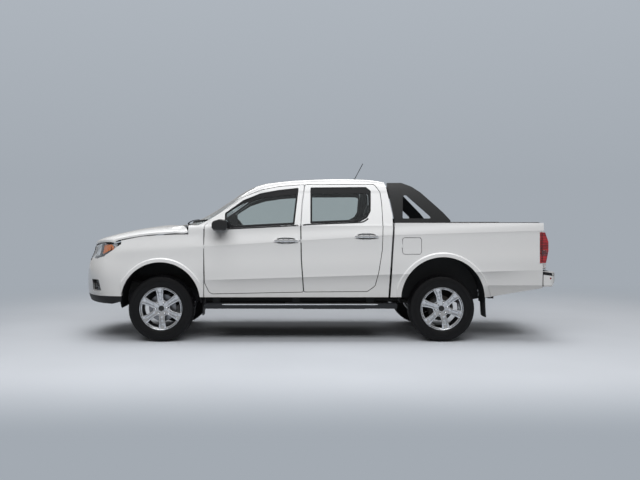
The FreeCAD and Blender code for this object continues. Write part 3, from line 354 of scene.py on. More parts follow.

# finish of the frame's own pieces by their slot
finishes = {
    "white_paint": enamel, "black_plastic": blackPlastic, "dark_plastic": darkPlastic,
    "frame_steel": chassisPaint, "cast_metal": castIron, "alloy": wheelSilver, "tyre_rubber": rubber,
    "tinted_glass": sideGlass, "lamp_glass": clearLens, "red_lamp": redLens, "seat_cloth": seatCloth,
    "trim": trimPlastic, "mirror_cap": glossBlack, "bar_grey": barPaint, "exhaust_steel": exhaustSteel,
}
slotOfNode = {row["node"]: row["material_slot"] for row in frame["record"]["subparts"]}
paintOf = {"cab_shell": cabEnamel, "bed_shell": bedEnamel, "tailgate": gateEnamel}
paintOf.update({name: doorEnamel for name in nodes if name.startswith("door_")})
for name, piece in nodes.items():
    piece.data.materials.clear()
    piece.data.materials.append(paintOf.get(name, finishes[slotOfNode[name]]))
print("stage: materials on", len(nodes), "frame pieces")

smoothing = {"merge": 0.00001, "edgeAngle": 38.0}


def gridFaces(rows, columns, wrapRows=False, wrapColumns=False):
    # every cell of a grid of points as one four-sided face
    i = np.arange(rows if wrapRows else rows - 1)
    j = np.arange(columns if wrapColumns else columns - 1)
    a, b = np.meshgrid(i, j, indexing="ij")
    c, d = (a + 1) % rows, (b + 1) % columns
    return np.stack([a * columns + b, c * columns + b, c * columns + d, a * columns + d], -1).reshape(-1, 4)


def buildPiece(name, parts, finish, body="truck", smooth=True):
    # parts are pairs of points and four-column faces, a triangle's last column being -1; they go into one
    # mesh, whose closed shapes are turned outwards
    clouds = [np.reshape(cloud, (-1, 3)) for cloud, cells in parts]
    starts = np.cumsum([0] + [len(cloud) for cloud in clouds])
    cells = np.concatenate([np.where(cells < 0, -1, cells + k) for (cloud, cells), k in zip(parts, starts)])
    used = cells >= 0
    corners = used.sum(1)
    mesh = bpy.data.meshes.new(name + "Mesh")
    mesh.vertices.add(starts[-1])
    mesh.vertices.foreach_set("co", np.concatenate(clouds).astype(np.float32).ravel())
    mesh.loops.add(corners.sum())
    mesh.loops.foreach_set("vertex_index", cells[used].astype(np.int32))
    mesh.polygons.add(len(cells))
    mesh.polygons.foreach_set("loop_start", (np.cumsum(corners) - corners).astype(np.int32))
    mesh.update(calc_edges=True)
    work = bmesh.new()
    work.from_mesh(mesh)
    bmesh.ops.remove_doubles(work, verts=work.verts, dist=smoothing["merge"])
    bmesh.ops.recalc_face_normals(work, faces=work.faces)
    work.to_mesh(mesh)
    work.free()
    mesh.polygons.foreach_set("use_smooth", np.full(len(mesh.polygons), smooth))
    mesh.materials.append(finish)
    piece = bpy.data.objects.new(name, mesh)
    scene.collection.objects.link(piece)
    if smooth:
        split = piece.modifiers.new("edges", "EDGE_SPLIT")
        split.split_angle = math.radians(smoothing["edgeAngle"])
    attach(piece, body)
    return piece


def closedTube(rings):
    # rings of equal count along a path, each a closed loop, with a fan of triangles at both ends
    rings = np.asarray(rings, float)
    rows, columns = rings.shape[:2]
    here = np.arange(columns)
    ahead, none, end = (here + 1) % columns, np.full(columns, -1), (rows - 1) * columns
    first, last = np.full(columns, rows * columns), np.full(columns, rows * columns + 1)
    cells = np.concatenate([
        gridFaces(rows, columns, wrapColumns=True), np.stack([first, ahead, here, none], -1),
        np.stack([last, end + here, end + ahead, none], -1)])
    return np.concatenate([rings.reshape(-1, 3), rings[:1].mean(1), rings[-1:].mean(1)]), cells


def closedSheet(top, bottom):
    # two grids of the same size, one over the other, joined round their rim
    rows, columns = top.shape[:2]
    count = rows * columns
    upper = gridFaces(rows, columns)
    index = np.arange(count).reshape(rows, columns)
    rim = np.concatenate([index[0, :-1], index[:-1, -1], index[-1, :0:-1], index[:0:-1, 0]])
    wall = np.stack([rim, np.roll(rim, -1), np.roll(rim, -1) + count, rim + count], -1)
    cells = np.concatenate([upper, upper[:, ::-1] + count, wall])
    return np.concatenate([top.reshape(-1, 3), bottom.reshape(-1, 3)]), cells


def slab(xs, ys, zs, shift):
    # a grid given by its three coordinates, thickened by a shift
    face = np.stack(np.broadcast_arrays(xs, ys, zs), -1)
    return closedSheet(face, face + shift)


def linePath(x, y, z):
    # points along a line given by its coordinates, of which some are the same all along
    return np.stack(np.broadcast_arrays(x, y, z), -1).astype(float)


def ringPoints(centre, y, r, a):
    # points at offset y, radius r and angle a about a line along Y: x = r sin a, z = r cos a
    y, r, a = np.broadcast_arrays(y, r, a)
    return np.stack([centre[0] + r * np.sin(a), centre[1] + y, centre[2] + r * np.cos(a)], -1)


def turnedRing(profile, centre, steps=72, closed=True):
    # profile of axial and radial pairs turned about a line along Y
    profile = np.asarray(profile, float)
    a = np.linspace(0, 2 * np.pi, steps, endpoint=False)[:, None]
    cloud = ringPoints(centre, profile[None, :, 0], profile[None, :, 1], a)
    return cloud, gridFaces(steps, len(profile), True, closed)


def roundedLoop(width, height, corner, count=6):
    # closed outline of a rectangle with rounded corners, in its own plane
    corner = min(corner, width / 2 - 1e-5, height / 2 - 1e-5)
    a = np.linspace(0, np.pi / 2, count)
    x, z = width / 2 - corner, height / 2 - corner
    arcs = []
    for k, (middleX, middleZ) in enumerate([(x, z), (-x, z), (-x, -z), (x, -z)]):
        turn = a + k * np.pi / 2
        arcs.append(np.stack([middleX + corner * np.cos(turn), middleZ + corner * np.sin(turn)], -1))
    return np.concatenate(arcs)


def pillow(loop, depth, edge, rings=5):
    # a flat outline thickened into a plate: the front edge rolls over a quarter circle of the given radius
    middle = loop.mean(0)
    reach = np.linalg.norm(loop - middle, axis=1).mean()
    a = np.linspace(0, np.pi / 2, rings)
    shrink = np.append(1.0, 1 - edge / reach * (1 - np.cos(a)))[:, None, None]
    rise = np.append(0.0, depth - edge + edge * np.sin(a))[:, None, None]
    flat = middle + (loop - middle) * shrink
    return closedTube(np.concatenate([flat, np.broadcast_to(rise, flat.shape[:2] + (1,))], -1))


def setOn(part, origin, across, up):
    # carries a plate to a place: its first axis goes across, its second up, its depth along their cross
    # product
    cloud, cells = part
    across, up = np.array(across, float), np.array(up, float)
    across /= np.linalg.norm(across)
    up -= across * (up @ across)
    up /= np.linalg.norm(up)
    out = np.cross(across, up)
    return np.array(origin) + cloud[:, :1] * across + cloud[:, 1:2] * up + cloud[:, 2:] * out, cells


def smoothCurve(points, count):
    # Catmull-Rom curve through the points, evenly spaced in its parameter
    p = np.asarray(points, float)
    p = np.concatenate([[2 * p[0] - p[1]], p, [2 * p[-1] - p[-2]]])
    t = np.linspace(0, len(p) - 3 - 1e-9, count)
    k = t.astype(int)
    u = (t - k)[:, None]
    a, b, c, d = p[k], p[k + 1], p[k + 2], p[k + 3]
    square, cube = 2 * a - 5 * b + 4 * c - d, 3 * b - a - 3 * c + d
    return 0.5 * (2 * b + (c - a) * u + square * u ** 2 + cube * u ** 3)


def roundPipe(path, radius, sections=12):
    # circle carried along a path, its frame turned as little as possible from point to point
    path = np.asarray(path, float)
    ahead = np.gradient(path, axis=0)
    ahead /= np.linalg.norm(ahead, axis=1)[:, None]
    side = np.cross(ahead, [0.0, 0.0, 1.0])
    upright = np.linalg.norm(side, axis=1) < 1e-3
    side[upright] = np.cross(ahead[upright], [0.0, 1.0, 0.0])
    side /= np.linalg.norm(side, axis=1)[:, None]
    up = np.cross(side, ahead)
    a = np.linspace(0, 2 * np.pi, sections, endpoint=False)[None, :, None]
    radius = np.broadcast_to(np.asarray(radius, float), (len(path),))[:, None, None]
    return closedTube(path[:, None] + radius * (np.cos(a) * side[:, None] + np.sin(a) * up[:, None]))


def roundedPost(a, b, width, depth, corner=0.004):
    # bar of rounded rectangular section from a to b, its ends drawn in a little
    a, b = np.array(a, float), np.array(b, float)
    ahead = (b - a) / np.linalg.norm(b - a)
    side = np.cross(ahead, [0.0, 0.0, 1.0] if abs(ahead[2]) < 0.9 else [0.0, 1.0, 0.0])
    side /= np.linalg.norm(side)
    up = np.cross(side, ahead)
    loop = roundedLoop(width, depth, corner, 4)
    flat = loop[:, :1] * side + loop[:, 1:] * up
    inset = ahead * 0.002
    return closedTube(np.stack([a + flat * 0.9, a + inset + flat, b - inset + flat, b + flat * 0.9]))


def evenLoop(points, count):
    # points spaced evenly along a closed line
    points = np.concatenate([points, points[:1]])
    steps = np.linalg.norm(np.diff(points, axis=0), axis=1) + 1e-9
    far = np.concatenate([[0], np.cumsum(steps)])
    place = np.linspace(0, far[-1], count, endpoint=False)
    return np.stack([np.interp(place, far, points[:, k]) for k in range(points.shape[1])], -1)


def roundedOutline(corners, count=96):
    # polygon of x, z and corner radius, its corners turned into arcs, then points spaced evenly along it
    corners = np.asarray(corners, float)
    here, radius = corners[:, :2], corners[:, 2:3]
    before, after = np.roll(here, 1, 0) - here, np.roll(here, -1, 0) - here
    before /= np.linalg.norm(before, axis=1)[:, None]
    after /= np.linalg.norm(after, axis=1)[:, None]
    half = np.arccos(np.clip((before * after).sum(1), -1, 1))[:, None] / 2
    reach = radius / np.tan(half)
    start, stop = here + before * reach, here + after * reach
    t = np.linspace(0, 1, 7)[None, :, None]
    arc = (1 - t) ** 2 * start[:, None] + 2 * t * (1 - t) * here[:, None] + t ** 2 * stop[:, None]
    return evenLoop(arc.reshape(-1, 2), count)


def insetLoop(loop, distance):
    # each point of a closed outline moved inwards along its normal
    ahead = np.roll(loop, -1, 0) - np.roll(loop, 1, 0)
    ahead /= np.linalg.norm(ahead, axis=1)[:, None]
    normal = np.stack([-ahead[:, 1], ahead[:, 0]], -1)
    area = 0.5 * np.sum(loop[:, 0] * np.roll(loop[:, 1], -1) - np.roll(loop[:, 0], -1) * loop[:, 1])
    return loop + normal * distance * np.sign(area)


trees = {}


def treeOf(*names):
    # search tree over the surfaces of CAD nodes, whose meshes are triangles
    if names not in trees:
        points, cells = [], []
        for name in names:
            mesh = nodes[name].data
            place = np.empty(3 * len(mesh.vertices), np.float32)
            corner = np.empty(len(mesh.loops), np.int32)
            mesh.vertices.foreach_get("co", place)
            mesh.loops.foreach_get("vertex_index", corner)
            cells += (corner + len(points)).reshape(-1, 3).tolist()
            points += place.reshape(-1, 3).tolist()
        trees[names] = BVHTree.FromPolygons(points, cells)
    return trees[names]


def onSurface(tree, places, toward, back=3.0):
    # rays from far outside against the surface; where one misses, the nearest surface point stands in
    hits = []
    aim = Vector(toward).normalized()
    for place in places:
        point, normal, index, far = tree.ray_cast(Vector(place) - aim * back, aim)
        if point is None:
            point, normal, index, far = tree.find_nearest(Vector(place))
        if normal.dot(aim) > 0:
            normal = -normal
        hits.append((*point, *normal))
    hits = np.array(hits)
    return hits[:, :3], hits[:, 3:]


def formedPad(tree, boundary, toward, rings):
    # rings are pairs of shrink and height: the outline shrunk to its middle, dropped on the surface and
    # lifted along its normals
    middle = boundary.mean(0)
    layers, known = [], {}
    for shrink, height in rings:
        if shrink not in known:
            known[shrink] = onSurface(tree, middle + (boundary - middle) * shrink, toward)
        points, normals = known[shrink]
        layers.append(points + normals * height)
    return closedTube(np.array(layers))


def formedStrip(tree, path, toward, width, rise, closed=False, sink=0.003):
    # strip of half-round section laid along a path on the surface: height = rise (1 - w^4)
    ahead = np.roll(path, -1, 0) - np.roll(path, 1, 0) if closed else np.gradient(path, axis=0)
    ahead /= np.linalg.norm(ahead, axis=1)[:, None]
    across = np.cross(ahead, np.array(toward, float) / np.linalg.norm(toward))
    across /= np.linalg.norm(across, axis=1)[:, None]
    w = np.array([-1, -0.92, -0.6, 0, 0.6, 0.92, 1.0])
    half = np.broadcast_to(np.asarray(width, float), (len(path),))[:, None, None] / 2
    places = path[:, None] + across[:, None] * half * w[None, :, None]
    points, normals = onSurface(tree, places.reshape(-1, 3), toward)
    points, normals = points.reshape(places.shape), normals.reshape(places.shape)
    top = points + normals * (rise * (1 - w ** 4))[None, :, None]
    low = points[:, [-1, 0]] - normals[:, [-1, 0]] * sink
    loops = np.concatenate([top, low], 1)
    if closed:
        return loops.reshape(-1, 3), gridFaces(len(path), loops.shape[1], True, True)
    return closedTube(loops)


def onSide(loop, side, depth=0.86):
    # an outline in x and z stood beside the truck
    return linePath(loop[:, 0], side * depth, loop[:, 1])


def sidePad(name, node, loop, side, rings, finish, body="truck"):
    # a pad on the outer face of a node on the truck's side
    return buildPiece(name, [formedPad(treeOf(node), onSide(loop, side), (0, -side, 0), rings)], finish, body)


def doorPad(name, node, loop, side, rings, finish, body):
    # a pad on a door's inner face, dropped on it from the cabin
    path = onSide(loop, side, cabinDepth)
    return buildPiece(name, [formedPad(treeOf(node), path, (0, side, 0), rings)], finish, body)


cabinDepth = 0.6

wheel = {
    "frontX": -1.6775, "rearX": 1.3725, "height": 0.359, "track": 0.755,
    "frontTurn": -4.5, "rearTurn": -12.5, "spokes": 6, "nutCircle": 0.0635, "nutTurn": 30,
    # profiles of offset along the axle and radius
    "barrel": [
        (0.0965, 0.2335), (0.0995, 0.232), (0.1, 0.2285), (0.097, 0.2245), (0.092, 0.223), (0.0865, 0.221),
        (0.083, 0.2165), (0.078, 0.2085), (0.06, 0.204), (0.0, 0.196), (-0.05, 0.196), (-0.08, 0.208),
        (-0.098, 0.222), (-0.1, 0.2315), (-0.096, 0.2335), (-0.092, 0.2265), (-0.07, 0.2245),
        (-0.06, 0.206), (0.03, 0.206), (0.06, 0.2235), (0.09, 0.2265), (0.0945, 0.2325)],
    "hub": [
        (0.03, 0.001), (0.03, 0.06), (0.035, 0.085), (0.048, 0.097), (0.0575, 0.0945), (0.064, 0.086),
        (0.0665, 0.072), (0.0655, 0.044), (0.0645, 0.0405), (0.0655, 0.038), (0.0655, 0.001)],
    "cap": [
        (0.066, 0.0008), (0.0672, 0.012), (0.0665, 0.0205), (0.0705, 0.0225), (0.073, 0.0262),
        (0.0725, 0.0295), (0.0685, 0.0305), (0.062, 0.0305), (0.062, 0.0008)],
    "nut": [(0.055, 0.0105), (0.079, 0.0105), (0.0815, 0.0095), (0.084, 0.006), (0.085, 0.0015)],
    # painted shade: a thin dark ring on the hub face round each nut, standing for the shadowed hole the nut
    # sits in
    "well": [(0.0672, 0.0108), (0.0672, 0.0165), (0.066, 0.0172), (0.066, 0.0108)],
    "disc": [
        (-0.004, 0.07), (-0.004, 0.08), (-0.012, 0.085), (-0.012, 0.148), (-0.02, 0.15), (-0.021, 0.144),
        (-0.027, 0.144), (-0.028, 0.15), (-0.036, 0.148), (-0.036, 0.075), (0.025, 0.072), (0.027, 0.05),
        (0.021, 0.05), (0.019, 0.066)],
    "drum": [
        (0.028, 0.05), (0.028, 0.118), (0.02, 0.13), (-0.006, 0.134), (-0.008, 0.14), (-0.03, 0.14),
        (-0.034, 0.135), (-0.034, 0.07), (0.0, 0.068), (0.02, 0.05)],
}
tyre = {
    "around": 672, "across": 46, "half": 0.098, "crown": 0.3585, "drop": 0.0105, "grooveDepth": 0.0085,
    "grooves": [(-0.62, 0.05), (-0.21, 0.06), (0.21, 0.06), (0.62, 0.05)], "wave": 0.03, "waves": 24,
    "roll": 3.2, "ramp": 0.025, "laneEdges": (0.21, 0.62), "lanes": (0.0, 0.33, 0.66), "slant": 0.35,
    "cut": 0.2, "cutRamp": 0.08, "lugs": 56, "lug": 0.28, "lugRamp": 0.06, "wallSteps": 168,
    "lugRise": 0.0006, "lugFrom": 0.318, "lugTo": 0.345,
    "wall": [
        (0.098, 0.3480), (0.103, 0.342), (0.1075, 0.334), (0.1115, 0.322), (0.114, 0.308), (0.1145, 0.3),
        (0.1125, 0.298), (0.1145, 0.296), (0.115, 0.283), (0.114, 0.268), (0.1125, 0.2665), (0.1125, 0.262),
        (0.1135, 0.2605), (0.111, 0.25), (0.106, 0.2425), (0.1, 0.2385), (0.093, 0.2305), (0.07, 0.226)],
    "seat": [(-0.07, 0.226), (0.0, 0.2255), (0.07, 0.226)],
}
spoke = {
    # radii, then half width, crown height and groove depth at radii, and the places across a half width
    "half": [
        (0.03, 0.0172), (0.06, 0.0325), (0.09, 0.0345), (0.115, 0.0318), (0.15, 0.034), (0.19, 0.0405),
        (0.2215, 0.0468)],
    "crown": [
        (0.03, 0.066), (0.06, 0.07), (0.09, 0.079), (0.13, 0.088), (0.17, 0.0915), (0.205, 0.0905),
        (0.2215, 0.0885)],
    "groove": [
        (0.03, 0.0), (0.08, 0.002), (0.1, 0.008), (0.14, 0.013), (0.185, 0.0125), (0.2, 0.008),
        (0.215, 0.001), (0.2215, 0.0)],
    "across": [0.18, 0.36, 0.46, 0.56, 0.7, 0.82, 0.93, 0.985, 1.0],
    "radii": ((0.03, 0.1, 9), (0.112, 0.2215, 16)), "rib": (0.32, 0.26), "edge": (0.8, 0.2),
    "thick": 0.034, "edgeDrop": 0.007, "taper": 0.86,
}


def tyreShape(centre):
    # r(y) is the tyre's section turned round the axle; the tread has four wavy ring grooves and staggered
    # cross cuts, as deep as the larger of their clipped ramps; small lugs stand out of both walls
    a = np.linspace(0, 2 * np.pi, tyre["around"], endpoint=False)[:, None]
    s = np.linspace(-1, 1, tyre["across"])[None, :]
    crown = tyre["crown"] - tyre["drop"] * np.abs(s) ** tyre["roll"]
    rings = np.zeros_like(s)
    for place, width in tyre["grooves"]:
        gap = np.abs(s - place - tyre["wave"] * np.sin(tyre["waves"] * a))
        rings = np.maximum(rings, np.clip((width - gap) / tyre["ramp"], 0, 1))
    lane = np.take(tyre["lanes"], np.digitize(np.abs(s), tyre["laneEdges"])) + tyre["slant"] * s
    wave = np.abs(((a * tyre["lugs"] / (2 * np.pi) + lane) % 1.0) - 0.5) * 2
    cuts = np.clip((tyre["cut"] - wave) / tyre["cutRamp"], 0, 1)
    radius = crown - tyre["grooveDepth"] * np.maximum(rings, cuts * (0.8 + 0.2 * np.abs(s)))
    tread = ringPoints(centre, tyre["half"] * s, radius, a)
    parts = [(tread, gridFaces(tyre["around"], tyre["across"], True))]
    steps = tyre["wallSteps"]
    k = np.linspace(0, 2 * np.pi, steps, endpoint=False)[:, None]
    off = np.abs(((k * tyre["lugs"] / (2 * np.pi)) % 1.0) - 0.5)
    lug = np.clip((tyre["lug"] - off) / tyre["lugRamp"], 0, 1)
    outer = np.array(tyre["wall"])
    inner = outer[::-1] * [-1, 1]
    for offset, r in (inner.T[:, None], outer.T[:, None]):
        high = (r > tyre["lugFrom"]) * (r < tyre["lugTo"])
        offset = offset + np.sign(offset) * tyre["lugRise"] * lug * high
        parts.append((ringPoints(centre, offset, r, k), gridFaces(steps, len(outer), True)))
    return parts + [turnedRing(tyre["seat"], centre, steps, closed=False)]


def spokeShape(centre, side, turn):
    # closed section carried out along the radius r: half width, crown height and groove depth are
    # functions of r, and the six spokes are one shape turned by 60 degrees
    r = np.concatenate([np.linspace(*span) for span in spoke["radii"]])[:, None]
    half, crown, groove = (np.interp(r, *np.transpose(spoke[key])) for key in ("half", "crown", "groove"))
    places = np.array(spoke["across"])
    t = np.concatenate([-places[::-1], [0.0], places])[None, :]
    rib, edge = (np.clip((np.abs(t) - spoke[key][0]) / spoke[key][1], 0, 1) for key in ("rib", "edge"))
    rib = rib * rib * (3 - 2 * rib)
    edge = np.sqrt(np.clip(1 - edge ** 2, 0, 1))
    high = crown - groove * (1 - rib) - spoke["edgeDrop"] * (1 - edge)
    low = crown - spoke["thick"] + 0 * t
    across = np.concatenate([half * t, (half * spoke["taper"] * t)[:, ::-1]], 1)
    out = np.concatenate([high, low[:, ::-1]], 1)
    parts = []
    for angle in np.radians(turn + 360 / wheel["spokes"] * np.arange(wheel["spokes"])):
        px = across * np.cos(angle) + r * np.sin(angle)
        pz = r * np.cos(angle) - across * np.sin(angle)
        parts.append(closedTube(np.stack([centre[0] + px, centre[1] + side * out, centre[2] + pz], -1)))
    return parts


def nutShape(centre, side):
    # a wheel nut, each section a hexagon of the profile's radius
    a = np.linspace(0, 2 * np.pi, 6, endpoint=False)
    height, r = np.array(wheel["nut"]).T[:, :, None]
    x, z = centre[0] + r * np.cos(a), centre[2] + r * np.sin(a)
    return closedTube(linePath(x, centre[1] + side * height, z))


for end in ("front", "rear"):
    for name, side in sides.items():
        label, body = "_" + end + "_" + name, "wheel_" + end + "_" + name
        centre = np.array([wheel[end + "X"], side * wheel["track"], wheel["height"]])
        turn = wheel[end + "Turn"]
        turned = {
            key: np.array(wheel[key]) * [side, 1.0]
            for key in ("barrel", "hub", "cap", "well", "disc", "drum")}
        angles = np.radians(turn + wheel["nutTurn"] + 60 * np.arange(6))
        nuts = centre + wheel["nutCircle"] * np.stack([np.sin(angles), 0 * angles, np.cos(angles)], -1)
        piece = buildPiece("tyreDetail" + label, tyreShape(centre), rubber, body)
        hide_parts("tyre" + label)
        rim = [turnedRing(turned["barrel"], centre, 144), turnedRing(turned["hub"], centre)]
        piece = buildPiece("rimDetail" + label, rim + spokeShape(centre, side, turn), wheelSilver, body)
        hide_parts("rim" + label)
        buildPiece("wheelNuts" + label, [nutShape(nut, side) for nut in nuts], brightTrim, body, smooth=False)
        # painted shade round the nuts, in the dark painted cast-iron finish
        nutShadowRings = [turnedRing(turned["well"], nut, 24) for nut in nuts]
        buildPiece("nutWells" + label, nutShadowRings, castIron, body)
        buildPiece("hubCap" + label, [turnedRing(turned["cap"], centre, 48)], barPaint, body)
        if end == "front":
            buildPiece("brakeDisc_" + name, [turnedRing(turned["disc"], centre, 96)], discSteel, body)
        else:
            buildPiece("brakeDrum_" + name, [turnedRing(turned["drum"], centre, 96)], castIron, body)
print("stage: wheels")

windowSeal = {
    "front": [
        (-0.985, 1.232, 0.008), (-0.985, 1.398, 0.010), (-0.790, 1.540, 0.06), (-0.600, 1.618, 0.06),
        (-0.400, 1.655, 0.06), (-0.180, 1.679, 0.012), (-0.228, 1.270, 0.008)],
    "rear": [
        (-0.052, 1.683, 0.014), (0.560, 1.688, 0.03), (0.615, 1.646, 0.03), (0.604, 1.417, 0.06),
        (0.563, 1.345, 0.04), (0.486, 1.304, 0.03), (-0.056, 1.282, 0.010)],
    "width": 0.021, "rise": 0.0075, "overlap": 0.001,
    "trimOut": 0.021, "trimWidth": 0.034, "trimRise": 0.0022,
}
beltLine = {
    "front": [(-1.105, 1.2165), (-0.985, 1.224), (-0.600, 1.243), (-0.186, 1.2635)],
    "rear": [
        (-0.138, 1.2665), (-0.056, 1.2735), (0.200, 1.2845), (0.470, 1.2965), (0.530, 1.3085),
        (0.574, 1.337)],
    "width": 0.015, "rise": 0.0045,
}
for door in ("front", "rear"):
    inset = windowSeal["width"] / 2 - windowSeal["overlap"]
    outline = insetLoop(roundedOutline(windowSeal[door], 150), inset)
    frameLine = insetLoop(roundedOutline(windowSeal[door], 110), -windowSeal["trimOut"])
    belt = smoothCurve(beltLine[door], 40)
    for name, side in sides.items():
        label, body = "_" + door + "_" + name, "door_" + door + "_" + name + "_body"
        panel = treeOf("door" + label)
        seal = formedStrip(
            treeOf("glass" + label), onSide(outline, side), (0, -side, 0), windowSeal["width"],
            windowSeal["rise"], True)
        buildPiece("windowSeal" + label, [seal], blackPlastic, body)
        strip = formedStrip(panel, onSide(belt, side), (0, -side, 0), beltLine["width"], beltLine["rise"])
        buildPiece("beltMoulding" + label, [strip], blackPlastic, body)
        trim = formedStrip(
            panel, onSide(frameLine, side, cabinDepth), (0, side, 0), windowSeal["trimWidth"],
            windowSeal["trimRise"], True)
        buildPiece("windowTrim" + label, [trim], trimPlastic, body)
print("stage: window seals and belt mouldings")

# rings are pairs of shrink and height, from the rim to the middle
doorHandle = {
    "front": (-0.3195, 1.098), "rear": (0.5505, 1.144), "length": 0.250, "width": 0.023, "corner": 0.011,
    # the scoop's painted shadow: an ellipse of grey sheet round the strap
    "cup": (0.205, 0.074),
    "cupRings": [(1.0, -0.003), (1.0, 0.0006), (0.96, 0.0010), (0.5, 0.0008), (0.02, 0.0008)],
    "rings": [
        (1.0, -0.006), (1.0, 0.0012), (0.992, 0.0022), (0.975, 0.0030), (0.9, 0.0036), (0.5, 0.0042),
        (0.02, 0.0042)],
    "lockX": -0.175, "lock": (0.017, 0.017, 0.0084),
    "lockRings": [(1.0, -0.003), (1.0, 0.0008), (0.85, 0.0016), (0.3, 0.0012), (0.05, 0.0004)],
}
doorPanel = {
    "front": [(-1.04, 0.62, 0.05), (-0.26, 0.62, 0.05), (-0.26, 1.16, 0.05), (-1.04, 1.12, 0.05)],
    "rear": [(-0.03, 0.64, 0.05), (0.56, 0.66, 0.08), (0.58, 1.18, 0.05), (-0.03, 1.16, 0.05)],
    "rings": [
        (1.0, -0.003), (1.0, 0.004), (0.985, 0.010), (0.96, 0.0125), (0.7, 0.0125), (0.3, 0.0125),
        (0.02, 0.0125)],
    "rest": (0.24, 0.052, 0.022), "restFromHandle": (-0.02, -0.13),
    "restRings": [(1.0, 0.008), (1.0, 0.026), (0.96, 0.034), (0.85, 0.037), (0.3, 0.037), (0.02, 0.037)],
}
mirror = {
    "sail": [(-0.978, 1.242, 0.004), (-0.978, 1.352, 0.006), (-0.888, 1.246, 0.006)],
    "sailRings": [(1.0, -0.001), (1.0, 0.008), (0.94, 0.0098), (0.5, 0.010), (0.02, 0.010)],
    "glass": (0.146, 0.076, 0.022), "thick": 0.003, "edge": 0.0012, "place": (-0.9545, 0.991, 1.267),
}
for door in ("front", "rear"):
    x0, z0 = doorHandle[door]
    strap = roundedLoop(doorHandle["length"], doorHandle["width"], doorHandle["corner"], 9) + [x0, z0]
    grip = roundedLoop(*doorPanel["rest"], 7) + np.add((x0, z0), doorPanel["restFromHandle"])
    a = np.linspace(0, 2 * np.pi, 72, endpoint=False)
    cup = np.array([x0, z0]) + np.stack([np.cos(a), np.sin(a)], -1) * doorHandle["cup"] / 2
    panel = roundedOutline(doorPanel[door], 120)
    for name, side in sides.items():
        label, body = "_" + door + "_" + name, "door_" + door + "_" + name + "_body"
        node = "door" + label
        # painted shadow in the handle scoop, then the chrome strap over it
        sidePad("handleCup" + label, node, cup, side, doorHandle["cupRings"], paintedScoopShadow, body)
        sidePad("handleSkin" + label, node, strap, side, doorHandle["rings"], brightTrim, body)
        doorPad("doorCard" + label, node, panel, side, doorPanel["rings"], trimPlastic, body)
        doorPad("armRest" + label, node, grip, side, doorPanel["restRings"], seatCloth, body)
        if door == "front":
            lock = roundedLoop(*doorHandle["lock"], 8) + [doorHandle["lockX"], z0]
            sidePad("doorLock_" + name, node, lock, side, doorHandle["lockRings"], brightTrim, body)
            sail, glassNode = roundedOutline(mirror["sail"], 48), "glass_front_" + name
            sidePad("mirrorSail_" + name, glassNode, sail, side, mirror["sailRings"], blackPlastic, body)
            glass = pillow(roundedLoop(*mirror["glass"], 7), mirror["thick"], mirror["edge"])
            place = np.multiply(mirror["place"], (1, side, 1))
            glass = setOn(glass, place, (0, 1, 0), (0.02, 0, 1))
            buildPiece("mirrorGlass_" + name, [glass], mirrorSilver, body)
print("stage: handles, door cards and mirrors")

# headlamps: clear lens over a bright bowl, amber indicator behind a black divider
headLamp = {
    "low": [(-2.600, 0.898), (-2.408, 0.898), (-2.307, 0.925), (-2.200, 0.994), (-2.105, 1.062)],
    "high": [
        (-2.600, 1.006), (-2.506, 1.021), (-2.450, 1.040), (-2.383, 1.059), (-2.325, 1.068),
        (-2.280, 1.072), (-2.203, 1.071), (-2.105, 1.084)],
    "about": (-1.95, 0.30), "from": 13.0, "to": 76.0, "level": 0.985,
    # offsets along the surface's normal of an outer and an inner face, at the rim and what the middle adds
    "lens": ((0.0, 0.0005), (-0.0028, 0.0005)), "bowl": ((-0.0032, -0.02475), (-0.0062, -0.027)),
    "divider": ((-0.0045, 0.0), (-0.030, -0.002)), "sill": ((-0.0045, 0.0), (-0.020, -0.002)),
    "indicator": ((-0.009, 0.004), (-0.016, 0.0)),
    # shares of the lamp, across and upwards
    "dividerShare": ((0.415, 0.49), (0.0, 1.0)), "sillShare": ((0.0, 0.72), (0.0, 0.19)),
    "indicatorShare": ((0.17, 0.41), (0.16, 0.86)),
}


def aroundCorner(tree, angles, heights, side):
    # level rays at an upright line inside the body; angle 0 looks at the side, 90 at the front
    x0, y0 = headLamp["about"]
    angles, heights = np.broadcast_arrays(np.radians(angles), heights)
    points, normals = [], []
    for angle, level in zip(angles.ravel(), heights.ravel()):
        aim = (math.sin(angle), -side * math.cos(angle), 0.0)
        hit, normal = onSurface(tree, [(x0, side * y0, level)], aim)
        points.append(hit[0])
        normals.append(normal[0])
    return np.reshape(points, heights.shape + (3,)), np.reshape(normals, heights.shape + (3,))


def lampShell(tree, side, offsets, columns=40, rows=9, across=(0.0, 1.0), upward=(0.0, 1.0)):
    # shell over a share of the lamp: rays along its middle give x, the outlines give the heights, and the
    # offset is its rim's plus what the middle adds times (1 - u^8)(1 - v^6)
    k = np.arange(60)
    angles = np.linspace(headLamp["from"], headLamp["to"], 60)
    levels = np.full(60, headLamp["level"])
    for _ in range(3):
        found = aroundCorner(tree, angles, levels, side)[0]
        bottom, top = (np.interp(found[:, 0], *np.transpose(headLamp[key])) for key in ("low", "high"))
        levels = (bottom + top) / 2
    s = np.linspace(*across, columns)[:, None] * 59
    here, bottom, top = (np.interp(s, k, values) for values in (angles, bottom, top))
    points, normals = aroundCorner(tree, here, bottom + (top - bottom) * np.linspace(*upward, rows), side)
    u, v = np.linspace(-1, 1, columns)[:, None], np.linspace(-1, 1, rows)[None]
    roll = (1 - u ** 8) * (1 - v ** 6)
    outer, inner = (points + normals * (rim + rise * roll)[..., None] for rim, rise in offsets)
    return closedSheet(outer, inner)


